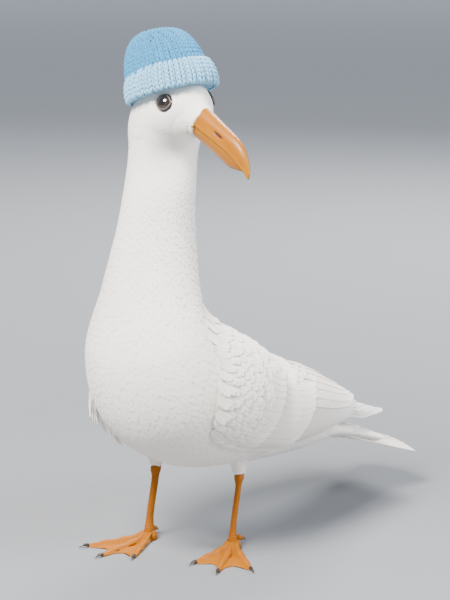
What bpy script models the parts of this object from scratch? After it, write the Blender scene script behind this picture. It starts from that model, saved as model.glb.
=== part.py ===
"""A life-size white seagull that stands and looks to its left, in a knitted beanie.

Sizes are metres, the bird faces -Y, its left is +X and it stands on z = 0. Each function makes one
sub-part as a closed solid, and touching solids keep a gap of 0.3 mm.
"""

import math

import bmesh
import bpy
import numpy as np
from mathutils import Matrix, Vector

GAP = 0.0003
COLUMNS = 26  # facets round the body

# The trunk and neck as sections along the spine, from the tail to the top of the neck:
# heading and pitch of the spine in degrees, its y and z, then half width, rise above and drop below it.
SPINE = {
    "tail root": (0, 17, 0.180, 0.086, 0.037, 0.010, 0.011),
    "vent": (0, 20, 0.146, 0.097, 0.048, 0.021, 0.027),
    "rump": (0, 24, 0.106, 0.112, 0.059, 0.036, 0.043),
    "hips": (0, 28, 0.061, 0.131, 0.068, 0.050, 0.060),
    "belly": (0, 33, 0.014, 0.154, 0.074, 0.060, 0.076),
    "breast": (0, 43, -0.029, 0.182, 0.073, 0.060, 0.075),
    "shoulder": (0, 62, -0.049, 0.219, 0.063, 0.048, 0.060),
    "neck base": (4, 80, -0.046, 0.262, 0.047, 0.039, 0.043),
    "mid neck": (28, 90, -0.040, 0.306, 0.0365, 0.0345, 0.0350),
    "upper neck": (57, 92, -0.034, 0.346, 0.0325, 0.0325, 0.0325),
}

# The head is a fan of sections about the throat: pitch of the head's axis there, distance of the axis
# from the throat, half width, rise and drop.
THROAT = Vector((0.0310, -0.0330, 0.3790))
HEAD_HEADING = 80
HEAD_FAN = {
    "nape": (90, 0.0325, 0.0315, 0.0325, 0.0268),
    "occiput": (62, 0.0375, 0.0320, 0.0380, 0.0305),
    "crown": (34, 0.0405, 0.0320, 0.0355, 0.0322),
    "brow": (8, 0.0410, 0.0300, 0.0290, 0.0315),
    "lores": (-12, 0.0395, 0.0240, 0.0235, 0.0280),
    "forehead": (-26, 0.0375, 0.0165, 0.0165, 0.0190),
}
BILL_PITCH = -26
BILL_BASE = 0.011  # from the forehead section to the root of the bill
BILL_BASE_HALF = (0.0118, 0.0130, 0.0138)  # half width, rise and drop of the face there
HEAD_EGG = 0.16  # how much narrower the crown is than the cheeks

BILL_LENGTH = 0.072
BILL_HALF_WIDTH = 0.0102
BILL_DEPTH = 0.0274
GONYS = 0.64  # where the lower edge turns up, as a share of the bill's length
HOOK = 0.0085

EYE_RADIUS = 0.0088
EYE_SUNK = 0.0062  # depth of the eyeball's centre below the feathers
EYE_PLACE = (0.38, 13)  # share of the way from the brow to the lores section, degrees above the side

TAIL_LENGTH = 0.134
TAIL_TIP_HALF_WIDTH = 0.047
TAIL_TIP_HALF_THICKNESS = 0.0022
TAIL_PITCH = 18
TAIL_ROUNDING = 4.0  # how far the outer feathers fall short: this times the square of x

# The surface that the folded wings lie on behind the hips: pitch, y, z, half width, rise, drop.
WING_BED = {
    "wing tip": (21, 0.280, 0.076, 0.021, 0.0055, 0.006),
    "primaries": (20, 0.226, 0.090, 0.034, 0.0095, 0.010),
    "tertials": (20, 0.170, 0.107, 0.050, 0.0200, 0.022),
    "secondaries": (24, 0.114, 0.120, 0.063, 0.0370, 0.044),
}
WING_LIFT = 0.0010  # between the wing and the surface of the trunk
WING_THICKNESS = 0.0105
WING_EDGE = 0.0012
PRIMARY_THICKNESS = 0.0032

ANKLE_HEIGHT = 0.066
FOOT_HEIGHT = 0.0105  # of the joint where the toes meet
TARSUS_HALF = (0.0031, 0.0042)  # half width across and front to back at its middle
ANKLE_RADIUS = 0.0056
THIGH_RADIUS = 0.020
HIP_HEIGHT = 0.140
TOE_LENGTHS = (0.055, 0.066, 0.062)  # inner, middle, outer
TOE_SPREAD = (-27, 0, 27)
TOE_HALF = (0.0044, 0.0026)  # half width at the root and at the tip
TOE_HEIGHT = (0.0062, 0.0040)
HIND_TOE = 0.0100
STEM_RADIUS = 0.0058
WEB_THICKNESS = 0.0013
WEB_REACH = 0.80
CLAW_LENGTH = 0.0085
LEGS = {
    "left": {"side": 1, "hub": (0.027, 0.033), "turn": 30, "ankle": (0.028, 0.041), "hip": (0.034, 0.018)},
    "right": {"side": -1, "hub": (-0.050, 0.000), "turn": 2, "ankle": (-0.049, 0.009), "hip": (-0.038, 0.006)},
}

HAT_TILT = 18  # degrees that the brim rises to the front
HAT_CENTRE = (-0.0192, 0.0512)  # from the throat, along the head's heading and up
CUFF_HEIGHT = 0.0240
CUFF_HALF = (0.0462, 0.0385)  # along and across the head
CROWN_HALF = (0.0405, 0.0345)
CROWN_HEIGHT = 0.0560
CROWN_SLOUCH = 0.0120

SHIFT = Vector((-0.0167, -0.1034, 0.0))

MATERIALS = {
    "plumage": ((0.90, 0.87, 0.83), 0.85),
    "bill": ((0.86, 0.33, 0.02), 0.35),
    "leg": ((0.84, 0.30, 0.02), 0.5),
    "claw": ((0.05, 0.04, 0.035), 0.35),
    "eye": ((0.01, 0.008, 0.007), 0.08),
    "hat_crown": ((0.10, 0.42, 0.66), 0.95),
    "hat_cuff": ((0.36, 0.66, 0.83), 0.95),
}


def clear_scene():
    for thing in list(bpy.data.objects):
        bpy.data.objects.remove(thing, do_unlink=True)


def material(name):
    found = bpy.data.materials.get(name)
    if found:
        return found
    colour, roughness = MATERIALS[name]
    made = bpy.data.materials.new(name)
    made.use_nodes = True
    shader = made.node_tree.nodes["Principled BSDF"]
    shader.inputs["Base Color"].default_value = (*colour, 1.0)
    shader.inputs["Roughness"].default_value = roughness
    shader.inputs["Metallic"].default_value = 0.0
    return made


def add_object(name, points, faces, slot):
    mesh = bpy.data.meshes.new(name)
    mesh.from_pydata([tuple(p) for p in points], [], faces)
    mesh.update()
    thing = bpy.data.objects.new(name, mesh)
    bpy.context.collection.objects.link(thing)
    mesh.materials.append(material(slot))
    shell = bmesh.new()
    shell.from_mesh(mesh)
    bmesh.ops.recalc_face_normals(shell, faces=shell.faces)
    shell.to_mesh(mesh)
    shell.free()
    return thing


def cut(target, cutter, operation="DIFFERENCE"):
    """Apply an exact boolean at once and drop the cutter."""
    step = target.modifiers.new("cut", "BOOLEAN")
    step.operation = operation
    step.solver = "EXACT"
    step.object = cutter
    bpy.context.view_layer.update()
    shape = bpy.data.meshes.new_from_object(target.evaluated_get(bpy.context.evaluated_depsgraph_get()))
    target.modifiers.clear()
    target.data = shape
    bpy.data.objects.remove(cutter, do_unlink=True)


def smooth_rows(rows, at):
    """Hermite curve through evenly numbered rows, read at the numbers in at."""
    rows = np.asarray(rows, float)
    at = np.clip(np.asarray(at, float), 0, len(rows) - 1)
    slope = np.gradient(rows, axis=0)
    low = np.minimum(at.astype(int), len(rows) - 2)
    t = (at - low)[..., None]
    a, b, da, db = rows[low], rows[low + 1], slope[low], slope[low + 1]
    return ((1 + 2 * t) * (1 - t) ** 2 * a + t**2 * (3 - 2 * t) * b
            + t * (1 - t) ** 2 * da - t**2 * (1 - t) * db)


def spine_rows():
    """Every section as heading, pitch, centre x, y, z, half width, rise, drop, egg."""
    rows = [(h, p, 0.0, y, z, w, up, down, 0.0) for h, p, y, z, w, up, down in SPINE.values()]
    for name, (pitch, reach, w, up, down) in HEAD_FAN.items():
        forward, upward = axes(HEAD_HEADING, pitch)
        x, y, z = THROAT + upward * reach
        egg = 0.0 if name == "nape" else HEAD_EGG
        rows.append((HEAD_HEADING, pitch, x, y, z, w, up, down, egg))
    base = bill_root()
    rows.append((HEAD_HEADING, BILL_PITCH, *base, *BILL_BASE_HALF, 0.0))
    return rows


def axes(heading, pitch):
    """Forward and upward directions of a section."""
    h, p = math.radians(heading), math.radians(pitch)
    level = Vector((math.sin(h), -math.cos(h), 0))
    up = Vector((0, 0, 1))
    return level * math.cos(p) + up * math.sin(p), up * math.cos(p) - level * math.sin(p)


def bill_root():
    forward, upward = axes(HEAD_HEADING, BILL_PITCH)
    reach = HEAD_FAN["forehead"][1]
    return THROAT + upward * reach + forward * BILL_BASE


def bed_rows():
    rows = [(0, p, 0.0, y, z, w, up, down, 0.0) for p, y, z, w, up, down in WING_BED.values()]
    body = spine_rows()
    names = list(SPINE)
    return rows + body[names.index("hips"):names.index("mid neck")]


def section_points(rows, at, around, out=0.0):
    """Points at the section numbers in at and the angles in around (0 is the bird's left, 90 the back)."""
    row = smooth_rows(rows, at)
    heading, pitch = np.radians(row[..., 0]), np.radians(row[..., 1])
    level = np.stack([np.sin(heading), -np.cos(heading), 0 * heading], -1)
    upward = np.array([0, 0, 1]) * np.cos(pitch)[..., None] - level * np.sin(pitch)[..., None]
    left = np.stack([np.cos(heading), np.sin(heading), 0 * heading], -1)
    c, s = np.cos(around), np.sin(around)
    width = (row[..., 5] + out) * (1 - row[..., 8] * s)
    height = np.where(s > 0, row[..., 6], row[..., 7]) + out
    return row[..., 2:5] + left * (width * c)[..., None] + upward * (height * s)[..., None]


def tube(name, rows, start, stop, count, slot, out=0.0, columns=COLUMNS):
    """A closed length of body between two section numbers."""
    at = np.linspace(start, stop, count)[:, None] + np.zeros((1, columns))
    around = np.linspace(0, 2 * math.pi, columns, endpoint=False)[None, :] + np.zeros((count, 1))
    points = section_points(rows, at, around, out).reshape(-1, 3)
    return add_object(name, points, ring_faces(count, columns), slot)


def ring_faces(count, columns):
    """Faces of stacked rings with both ends closed."""
    faces = [(i * columns + j, i * columns + (j + 1) % columns,
              (i + 1) * columns + (j + 1) % columns, (i + 1) * columns + j)
             for i in range(count - 1) for j in range(columns)]
    faces.append(tuple(range(columns))[::-1])
    faces.append(tuple(range((count - 1) * columns, count * columns)))
    return faces


def gap_in_sections(rows, at):
    """How much of a section number the gap takes up at that place."""
    here = smooth_rows(rows, np.array([at - 0.01, at + 0.01]))
    return GAP / 2 * 0.02 / np.linalg.norm(here[1, 2:5] - here[0, 2:5])


def body():
    rows = spine_rows()
    marks = {name: i for i, name in enumerate(list(SPINE) + list(HEAD_FAN) + ["bill root"])}
    lengths = (
        ("trunk", "tail root", "shoulder", 17),
        ("neck", "shoulder", "nape", 13),
        ("head", "nape", "bill root", 15),
    )
    for name, first, last, count in lengths:
        start = marks[first] + gap_in_sections(rows, marks[first])
        stop = marks[last] - gap_in_sections(rows, marks[last])
        tube(name, rows, max(start, 0), stop, count, "plumage")
    eyes(rows, marks["brow"], marks["lores"])


def eyes(rows, brow, lores):
    share, above = EYE_PLACE
    at = brow + share * (lores - brow)
    head = bpy.data.objects["head"]
    for side, angle in (("left", above), ("right", 180 - above)):
        a = math.radians(angle)
        here = Vector(section_points(rows, np.array(at), np.array(a)))
        ahead = Vector(section_points(rows, np.array(at + 0.05), np.array(a)))
        above_it = Vector(section_points(rows, np.array(at), np.array(a + 0.05)))
        outward = (ahead - here).cross(above_it - here).normalized()
        middle = Vector(smooth_rows(rows, np.array(at))[2:5])
        if outward.dot(here - middle) < 0:
            outward.negate()
        centre = here - outward * EYE_SUNK
        cut(head, ball("socket_" + side, centre, EYE_RADIUS + GAP, "eye"))
        ball("eye_" + side, centre, EYE_RADIUS, "eye")


def ball(name, centre, radius, slot):
    shell = bmesh.new()
    bmesh.ops.create_uvsphere(shell, u_segments=14, v_segments=9, radius=radius)
    bmesh.ops.translate(shell, vec=centre, verts=shell.verts)
    mesh = bpy.data.meshes.new(name)
    shell.to_mesh(mesh)
    shell.free()
    mesh.materials.append(material(slot))
    thing = bpy.data.objects.new(name, mesh)
    bpy.context.collection.objects.link(thing)
    return thing


def bill_profile(t):
    """Half width, top, parting line and bottom of the bill at t from root (0) to tip (1)."""
    half = BILL_HALF_WIDTH * (1 - 0.62 * t**1.3) * np.sqrt(np.clip(1 - t**7, 0.004, 1))
    bend = np.clip((t - 0.52) / 0.48, 0, 1)
    droop = HOOK * 1.35 * bend**2.3
    top = BILL_DEPTH / 2 * (1 - 0.05 * np.sin(math.pi * t)) - droop - 0.007 * bend**3
    parting = -0.0015 + 0.0012 * np.sin(math.pi * np.clip(t / 0.8, 0, 1)) - droop * 0.62
    past = np.clip((t - GONYS) / (1 - GONYS), 0, 1)
    gonys = 1.0 + 0.03 * np.minimum(t / GONYS, 1) - 0.78 * past**1.15
    bottom = -BILL_DEPTH / 2 * gonys - 0.001 * bend
    return half, top, parting, bottom


def bill():
    forward, upward = axes(HEAD_HEADING, BILL_PITCH)
    across = forward.cross(upward)
    root = bill_root() + forward * GAP
    columns = 16

    def place(x, y, z):
        return root + forward * x + across * y + upward * z

    upper, lower = [], []
    steps = 15
    for i in range(steps):
        t = i / (steps - 1)
        half, top, parting, bottom = (float(v) for v in bill_profile(np.array(t)))
        edge = parting + GAP / 2 - 0.0016 * max(0.0, (t - 0.92) / 0.08) ** 1.5
        for j in range(columns):
            a = math.pi * j / (columns - 1)
            y = half * math.cos(a)
            upper.append(place(t * BILL_LENGTH, y, edge + max(top - edge, 0.0006) * math.sin(a) ** 0.8))
    lower_length = 0.90
    stations = [i / (steps - 1) for i in range(steps) if i / (steps - 1) < lower_length] + [lower_length]
    for t in stations:
        half, top, parting, bottom = (float(v) for v in bill_profile(np.array(t)))
        narrow = 0.94 * half * math.sqrt(max(1 - (t / lower_length) ** 8, 0.02))
        edge = parting - GAP / 2
        for j in range(columns):
            a = math.pi * j / (columns - 1)
            y = narrow * math.cos(a)
            lower.append(place(t * BILL_LENGTH, y, edge - max(edge - bottom, 0.0008) * math.sin(a) ** 0.8))
    add_object("bill_upper", upper, ring_faces(steps, columns), "bill")
    add_object("bill_lower", lower, ring_faces(len(stations), columns), "bill")


def tail():
    """The closed tail as one fan, thin behind and as deep as the trunk where they meet."""
    rows = spine_rows()
    first = smooth_rows(rows, np.array(0.0))
    forward, upward = axes(0, TAIL_PITCH)
    start = Vector(first[2:5]) - forward * GAP
    steps = 12
    columns = 24
    points = []
    for i in range(steps):
        t = i / (steps - 1)
        half = first[5] + (TAIL_TIP_HALF_WIDTH - first[5]) * t**0.8
        thick = TAIL_TIP_HALF_THICKNESS + (first[6] - TAIL_TIP_HALF_THICKNESS) * (1 - t) ** 2.2
        for j in range(columns):
            a = 2 * math.pi * j / columns
            x = half * math.copysign(abs(math.cos(a)) ** (1 - 0.5 * t), math.cos(a))
            z = thick * math.copysign(abs(math.sin(a)) ** (1 - 0.4 * t), math.sin(a))
            back = t * TAIL_LENGTH - t * TAIL_ROUNDING * x * x
            arch = -2.2 * x * x * t
            points.append(start - forward * back + Vector((x, 0, 0)) + upward * (z + arch))
    add_object("tail", points, ring_faces(steps, columns), "plumage")


def wing_outline(a, b):
    """Section number on the wing's bed, and angle round it, at a from wrist to tip and b from low to top."""
    front, tip = 7.40, 0.0
    corner = np.clip(a / 0.16, 0, 1)
    corner = corner * (2 - corner)
    low = -10 - 22 * corner + 22 * np.clip((a - 0.35) / 0.65, 0, 1) + 48 * np.clip((a - 0.5) / 0.5, 0, 1) ** 1.6
    top = 38 + 14 * corner + 32 * a
    angle = low + (top - low) * b
    at = front + (tip - front) * a - 1.5 * (1 - b) * (1 - a) ** 3
    return at, np.radians(angle)


def layer(name, side, start, stop, steps, columns, inner, outer, slot, ragged=0.0):
    """A thin solid on the wing's bed between two offsets, each a function of a and b."""
    rows = bed_rows()
    share = np.linspace(0, 1, steps)[:, None] + np.zeros((1, columns))
    b = np.linspace(0, 1, columns)[None, :] + np.zeros((steps, 1))
    a = start + (stop - start) * share - ragged * share**3 * (2 * b - 0.75) ** 2
    at, angle = wing_outline(a, b)
    base = section_points(rows, at, angle)
    along = section_points(rows, at + 0.02, angle) - base
    round_it = section_points(rows, at, angle + 0.02) - base
    normal = np.cross(round_it, along)
    normal /= np.linalg.norm(normal, axis=-1, keepdims=True)
    middle = smooth_rows(rows, at)[..., 2:5]
    normal *= np.sign(np.sum(normal * (base - middle), -1, keepdims=True))
    low = base + normal * inner(a, b)[..., None]
    high = base + normal * outer(a, b)[..., None]
    points = np.concatenate([low.reshape(-1, 3), high.reshape(-1, 3)])
    points[:, 0] *= side
    n = steps * columns
    faces = []
    for i in range(steps - 1):
        for j in range(columns - 1):
            p = i * columns + j
            faces.append((p, p + 1, p + columns + 1, p + columns))
            faces.append((n + p, n + p + columns, n + p + columns + 1, n + p + 1))
    rim = ([j for j in range(columns - 1)]
           + [i * columns + columns - 1 for i in range(steps - 1)]
           + [(steps - 1) * columns + j for j in range(columns - 1, 0, -1)]
           + [i * columns for i in range(steps - 1, 0, -1)])
    for p, q in zip(rim, rim[1:] + rim[:1]):
        faces.append((p, q, n + q, n + p))
    return add_object(name, points, faces, slot)


def wings():
    under = 0.46  # the primaries come out from under the wing from here on

    def rise(a):
        return np.clip((a - under + 0.06) / 0.05, 0, 1)

    def wing_inner(a, b):
        return WING_LIFT + (PRIMARY_THICKNESS + GAP + 0.0008) * rise(a)

    def wing_outer(a, b):
        swell = np.sin(math.pi * np.clip(b, 0, 1)) ** 0.55
        fade = (0.25 + 0.75 * np.clip(a / 0.14, 0, 1) ** 0.6) * (1 - 0.55 * np.clip((a - 0.3) / 0.45, 0, 1))
        return wing_inner(a, b) + WING_EDGE + (WING_THICKNESS - WING_EDGE) * swell * fade

    def primary_inner(a, b):
        return WING_LIFT + 0 * a

    def primary_outer(a, b):
        swell = np.sin(math.pi * np.clip(b, 0, 1)) ** 0.5
        return WING_LIFT + WING_EDGE + (PRIMARY_THICKNESS - WING_EDGE) * swell

    for name, side in (("left", 1), ("right", -1)):
        wing = layer("wing_" + name, side, 0.0, 0.80, 15, 9, wing_inner, wing_outer, "plumage", 0.12)
        cut(wing, tube("trunk_cutter", spine_rows(), 0.0, 8.0, 26, "plumage", GAP * 2))
        layer("primaries_" + name, side, under, 1.0, 10, 7, primary_inner, primary_outer, "plumage", 0.05)


def limb(name, path, halves, slot, columns=14, turn=0.0):
    """A closed tube along a path, with a half width and a half depth at each point."""
    points = []
    for i, here in enumerate(path):
        before, after = path[max(i - 1, 0)], path[min(i + 1, len(path) - 1)]
        along = (Vector(after) - Vector(before)).normalized()
        facing = Matrix.Rotation(math.radians(turn), 3, "Z") @ Vector((1, 0, 0))
        depth = along.cross(facing).normalized()
        width = depth.cross(along).normalized()
        for j in range(columns):
            a = 2 * math.pi * j / columns
            points.append(Vector(here) + width * (halves[i][0] * math.cos(a)) + depth * (halves[i][1] * math.sin(a)))
    return add_object(name, points, ring_faces(len(path), columns), slot)


def legs():
    rows = spine_rows()
    for name, leg in LEGS.items():
        hub = Vector((*leg["hub"], FOOT_HEIGHT))
        ankle = Vector((*leg["ankle"], ANKLE_HEIGHT))
        hip = Vector((*leg["hip"], HIP_HEIGHT))
        thigh_path, thigh_halves = [], []
        for i in range(8):
            t = i / 7
            low = ankle + Vector((0, 0, 0.009 + 3 * GAP))
            ease = t * t * (3 - 2 * t)
            here = Vector((low.x + (hip.x - low.x) * ease, low.y + (hip.y - low.y) * ease, low.z + (hip.z - low.z) * t))
            thigh_path.append(here)
            r = 0.0066 + (THIGH_RADIUS - 0.0066) * t**0.85
            thigh_halves.append((r * 0.92, r * 1.12))
        thigh = limb("thigh_" + name, thigh_path, thigh_halves, "plumage", 18)
        cut(thigh, tube("trunk_cutter", rows, 0.0, 7.0, 20, "plumage", GAP * 2))
        shank_path, shank_halves = [], []
        top = ankle + Vector((0, 0, 0.009 - GAP))
        for i in range(11):
            t = i / 10
            ease = t * t * (3 - 2 * t)
            here = Vector((hub.x + (top.x - hub.x) * ease, hub.y + (top.y - hub.y) * ease, hub.z + (top.z - hub.z) * t))
            shank_path.append(here)
            knob = math.exp(-((t - 0.90) / 0.075) ** 2)
            base = math.exp(-(t / 0.10) ** 2)
            shank_halves.append((TARSUS_HALF[0] + (ANKLE_RADIUS - TARSUS_HALF[0]) * 0.75 * knob + 0.0014 * base,
                                 TARSUS_HALF[1] + (ANKLE_RADIUS - TARSUS_HALF[1]) * knob + 0.0010 * base))
        limb("leg_" + name, shank_path, shank_halves, "leg", 10, leg["turn"])
        foot(name, leg)


def foot(name, leg):
    """Three front toes joined by a web as one flat-soled solid, with a short hind toe behind it."""
    hub = Vector((*leg["hub"], 0))
    mirror = leg["side"]
    turns = [math.radians(mirror * spread) for spread in TOE_SPREAD]
    bearings = sorted(turns)
    lengths = [TOE_LENGTHS[turns.index(bearing)] for bearing in bearings]
    rings = 9
    points = []
    for i in range(rings):
        points += foot_ring(hub, math.radians(leg["turn"]), bearings, lengths, max(i - 1, 0) / (rings - 2), i == 0)
    columns = len(points) // rings
    points += [Vector((p.x, p.y, 0)) for p in points[-columns:]]
    add_object("foot_" + name, points, ring_faces(rings + 1, columns), "leg")
    for number, (length, turn) in enumerate(zip(TOE_LENGTHS, turns)):
        angle = math.radians(leg["turn"]) + turn
        ahead = Vector((math.sin(angle), -math.cos(angle), 0))
        claw(f"claw_{name}_{number + 1}", hub + ahead * length, ahead, CLAW_LENGTH, 0.0022)
    back = math.radians(leg["turn"] + mirror * 160)
    ahead = Vector((math.sin(back), -math.cos(back), 0))
    root = hub + ahead * (STEM_RADIUS + 0.0022) + Vector((0, 0, 0.0088))
    path = [root + ahead * (HIND_TOE * t) - Vector((0, 0, 0.0042 * t**1.4)) for t in (0, 0.2, 0.4, 0.6, 0.8, 1)]
    halves = [(h, h) for h in (0.0022, 0.0026, 0.0023, 0.0023, 0.0021, 0.0013)]
    limb("hind_toe_" + name, path, halves, "leg", 8, math.degrees(back))
    claw(f"claw_{name}_hind", path[-1] + ahead * 0.0008, ahead, CLAW_LENGTH * 0.55, path[-1].z)


def foot_ring(hub, turn, bearings, lengths, t, on_top):
    """One ring of the foot from the leg's socket out to the rim: toes are ridges, the web lies between."""
    ring = []

    def put(bearing, reach, height):
        angle = turn + bearing
        r = STEM_RADIUS * (0.84 if on_top else 1.0) + max(reach - STEM_RADIUS, 0.0012) * t
        socket = FOOT_HEIGHT - GAP if on_top else FOOT_HEIGHT * 0.62
        blend = 1.0 if on_top else math.exp(-(t * reach / 0.0085) ** 1.6)
        z = height + (socket - height) * blend
        ring.append(Vector((hub.x + math.sin(angle) * r, hub.y - math.cos(angle) * r, z)))

    def edge(length, limit):
        r = STEM_RADIUS + (length - STEM_RADIUS) * t
        half = toe_half(t)
        return min(math.atan(half / r), limit)

    def ridge(t):
        knuckle = 1 + 0.10 * math.cos(6 * math.pi * t)
        return (TOE_HEIGHT[0] + (TOE_HEIGHT[1] - TOE_HEIGHT[0]) * t) * knuckle * (1 - 0.45 * t**14)

    outer = edge(lengths[0], 0.9)
    put(bearings[0] - outer, lengths[0] * 0.975, ridge(t) * 0.35)
    put(bearings[0] - outer * 0.6, lengths[0] * 0.993, ridge(t) * 0.82)
    for k in range(2):
        first, second = bearings[k], bearings[k + 1]
        span = second - first
        e1, e2 = edge(lengths[k], span * 0.36), edge(lengths[k + 1], span * 0.36)
        mean = (lengths[k] + lengths[k + 1]) / 2
        put(first, lengths[k], ridge(t))
        put(first + e1 * 0.6, lengths[k] * 0.990, ridge(t) * 0.80)
        put(first + e1, lengths[k] * 0.955, WEB_THICKNESS)
        for share in (0.33, 0.67):
            put(first + e1 + (span - e1 - e2) * share, mean * WEB_REACH, WEB_THICKNESS)
        put(second - e2, lengths[k + 1] * 0.955, WEB_THICKNESS)
        put(second - e2 * 0.6, lengths[k + 1] * 0.990, ridge(t) * 0.80)
    outer_last = edge(lengths[2], 0.9)
    put(bearings[2], lengths[2], ridge(t))
    put(bearings[2] + outer_last * 0.6, lengths[2] * 0.993, ridge(t) * 0.82)
    put(bearings[2] + outer_last, lengths[2] * 0.975, ridge(t) * 0.35)
    rest = 2 * math.pi - (bearings[2] + outer_last - bearings[0] + outer)
    for share in (0.14, 0.32, 0.5, 0.68, 0.86):
        put(bearings[2] + outer_last + rest * share, STEM_RADIUS + 0.0018, 0.0030)
    return ring


def toe_half(t):
    knuckle = 1 + 0.10 * math.cos(6 * math.pi * t)
    return (TOE_HALF[0] + (TOE_HALF[1] - TOE_HALF[0]) * t) * knuckle * (1 - 0.25 * t**10)


def claw(name, start, ahead, length, height):
    """A curved, pointed claw whose tip comes down near the floor."""
    steps, columns = 5, 7
    side = Vector((-ahead.y, ahead.x, 0))
    points = []
    for i in range(steps):
        t = i / (steps - 1)
        half = 0.0017 * (1 - 0.86 * t)
        drop = (height - 0.0006) * t**1.7
        for j in range(columns):
            a = 2 * math.pi * j / columns
            z = height - drop + half * math.sin(a)
            flat = Vector((start.x, start.y, 0))
            points.append(flat + ahead * (GAP + t * length) + side * (half * math.cos(a)) + Vector((0, 0, z)))
    return add_object(name, points, ring_faces(steps, columns), "claw")


def hat():
    """A crown that fits the head and a folded cuff round it."""
    rows = spine_rows()
    nape = len(SPINE)
    end = len(rows) - 1
    level = axes(HEAD_HEADING, 0)[0]
    brim, normal = axes(HEAD_HEADING, HAT_TILT)
    across = brim.cross(normal)
    centre = THROAT + level * HAT_CENTRE[0] + Vector((0, 0, HAT_CENTRE[1]))

    def dome(name, grow):
        steps, columns = 9, 22
        points = []
        for i in range(steps):
            t = i / (steps - 1)
            angle = t * math.pi / 2 * 0.97
            shrink = math.cos(angle) ** 0.62
            height = (CROWN_HEIGHT + grow) * math.sin(angle) ** 1.0
            back = CROWN_SLOUCH * t**1.3
            for j in range(columns):
                a = 2 * math.pi * j / columns
                x = (CROWN_HALF[0] + grow) * shrink * math.cos(a) - back
                y = (CROWN_HALF[1] + grow) * shrink * math.sin(a)
                points.append(centre + brim * x + across * y + normal * (height + 0.0015 - grow))
        return add_object(name, points, ring_faces(steps, columns), "hat_crown")

    def band(name):
        steps, columns = 6, 24
        points = []
        for i in range(steps):
            t = i / (steps - 1)
            bulge = math.sin(math.pi * (0.04 + 0.92 * t)) ** 0.35
            height = CUFF_HEIGHT * t - 0.001
            for j in range(columns):
                a = 2 * math.pi * j / columns
                x = (CUFF_HALF[0] - 0.006 * (1 - bulge) - 0.0035 * t) * math.cos(a)
                y = (CUFF_HALF[1] - 0.006 * (1 - bulge) - 0.0045 * t) * math.sin(a)
                points.append(centre + brim * x + across * y + normal * height)
        return add_object(name, points, ring_faces(steps, columns), "hat_cuff")

    crown = dome("hat_crown", 0.0)
    cut(crown, tube("head_cutter", rows, nape - 1.0, end, 22, "plumage", GAP * 2))
    cuff = band("hat_cuff")
    cut(cuff, dome("dome_cutter", GAP))
    cut(cuff, tube("head_cutter", rows, nape - 1.0, end, 22, "plumage", GAP * 2))


def shift_all():
    for thing in bpy.data.objects:
        thing.data.transform(Matrix.Translation(SHIFT))


clear_scene()
body()
bill()
tail()
wings()
legs()
hat()
shift_all()
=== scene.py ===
import math

import bmesh
import bpy
import numpy as np
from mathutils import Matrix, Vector


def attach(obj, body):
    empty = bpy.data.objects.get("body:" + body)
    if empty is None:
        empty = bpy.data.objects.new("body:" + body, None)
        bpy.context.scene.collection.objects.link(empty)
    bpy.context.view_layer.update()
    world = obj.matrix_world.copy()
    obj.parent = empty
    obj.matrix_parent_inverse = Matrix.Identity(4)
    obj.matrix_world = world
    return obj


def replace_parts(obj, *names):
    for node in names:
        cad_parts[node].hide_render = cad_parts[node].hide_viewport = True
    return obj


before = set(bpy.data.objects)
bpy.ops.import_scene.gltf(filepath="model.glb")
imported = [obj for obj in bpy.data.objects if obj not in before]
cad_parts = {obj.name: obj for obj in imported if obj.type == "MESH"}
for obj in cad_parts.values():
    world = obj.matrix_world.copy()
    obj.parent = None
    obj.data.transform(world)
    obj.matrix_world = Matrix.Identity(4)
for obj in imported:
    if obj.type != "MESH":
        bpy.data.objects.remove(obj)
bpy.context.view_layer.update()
rng = np.random.default_rng(41)

# Sections along the bird: heading and pitch in degrees, y, z, half width, rise, drop.
# They repeat the sizes that the solids were made from, from the tip of the tail to the top of the neck.
spine = {
    "tailTip": (0, 18, 0.3, 0.046, 0.046, 0.003, 0.003),
    "tailMiddle": (0, 18, 0.235, 0.068, 0.042, 0.005, 0.006),
    "tailRoot": (0, 17, 0.18, 0.086, 0.037, 0.01, 0.011),
    "vent": (0, 20, 0.146, 0.097, 0.048, 0.021, 0.027),
    "rump": (0, 24, 0.106, 0.112, 0.059, 0.036, 0.043),
    "hips": (0, 28, 0.061, 0.131, 0.068, 0.05, 0.06),
    "belly": (0, 33, 0.014, 0.154, 0.074, 0.06, 0.076),
    "breast": (0, 43, -0.029, 0.182, 0.073, 0.06, 0.075),
    "shoulder": (0, 62, -0.049, 0.219, 0.063, 0.048, 0.06),
    "neckBase": (4, 80, -0.046, 0.262, 0.047, 0.039, 0.043),
    "midNeck": (28, 90, -0.04, 0.306, 0.0365, 0.0345, 0.035),
    "upperNeck": (57, 92, -0.034, 0.346, 0.0325, 0.0325, 0.0325),
}

# The head fans about the throat: pitch, distance of its axis from the throat, half width, rise, drop.
head = {
    "throat": (0.031, -0.033, 0.379), "heading": 80, "billPitch": -26, "billBase": 0.011, "egg": 0.16,
    "baseHalf": (0.0118, 0.013, 0.0138),
    "fan": {
        "nape": (90, 0.0325, 0.0315, 0.0325, 0.0268),
        "occiput": (62, 0.0375, 0.032, 0.038, 0.0305),
        "crown": (34, 0.0405, 0.032, 0.0355, 0.0322),
        "brow": (8, 0.041, 0.03, 0.029, 0.0315),
        "lores": (-12, 0.0395, 0.024, 0.0235, 0.028),
        "forehead": (-26, 0.0375, 0.0165, 0.0165, 0.019),
    },
}

# What the folded wings lie on behind the hips: pitch, y, z, half width, rise, drop.
wingBed = {
    "wingTip": (21, 0.28, 0.076, 0.021, 0.0055, 0.006),
    "primaries": (20, 0.226, 0.09, 0.034, 0.0095, 0.01),
    "tertials": (20, 0.17, 0.107, 0.05, 0.02, 0.022),
    "secondaries": (24, 0.114, 0.12, 0.063, 0.037, 0.044),
}

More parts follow.
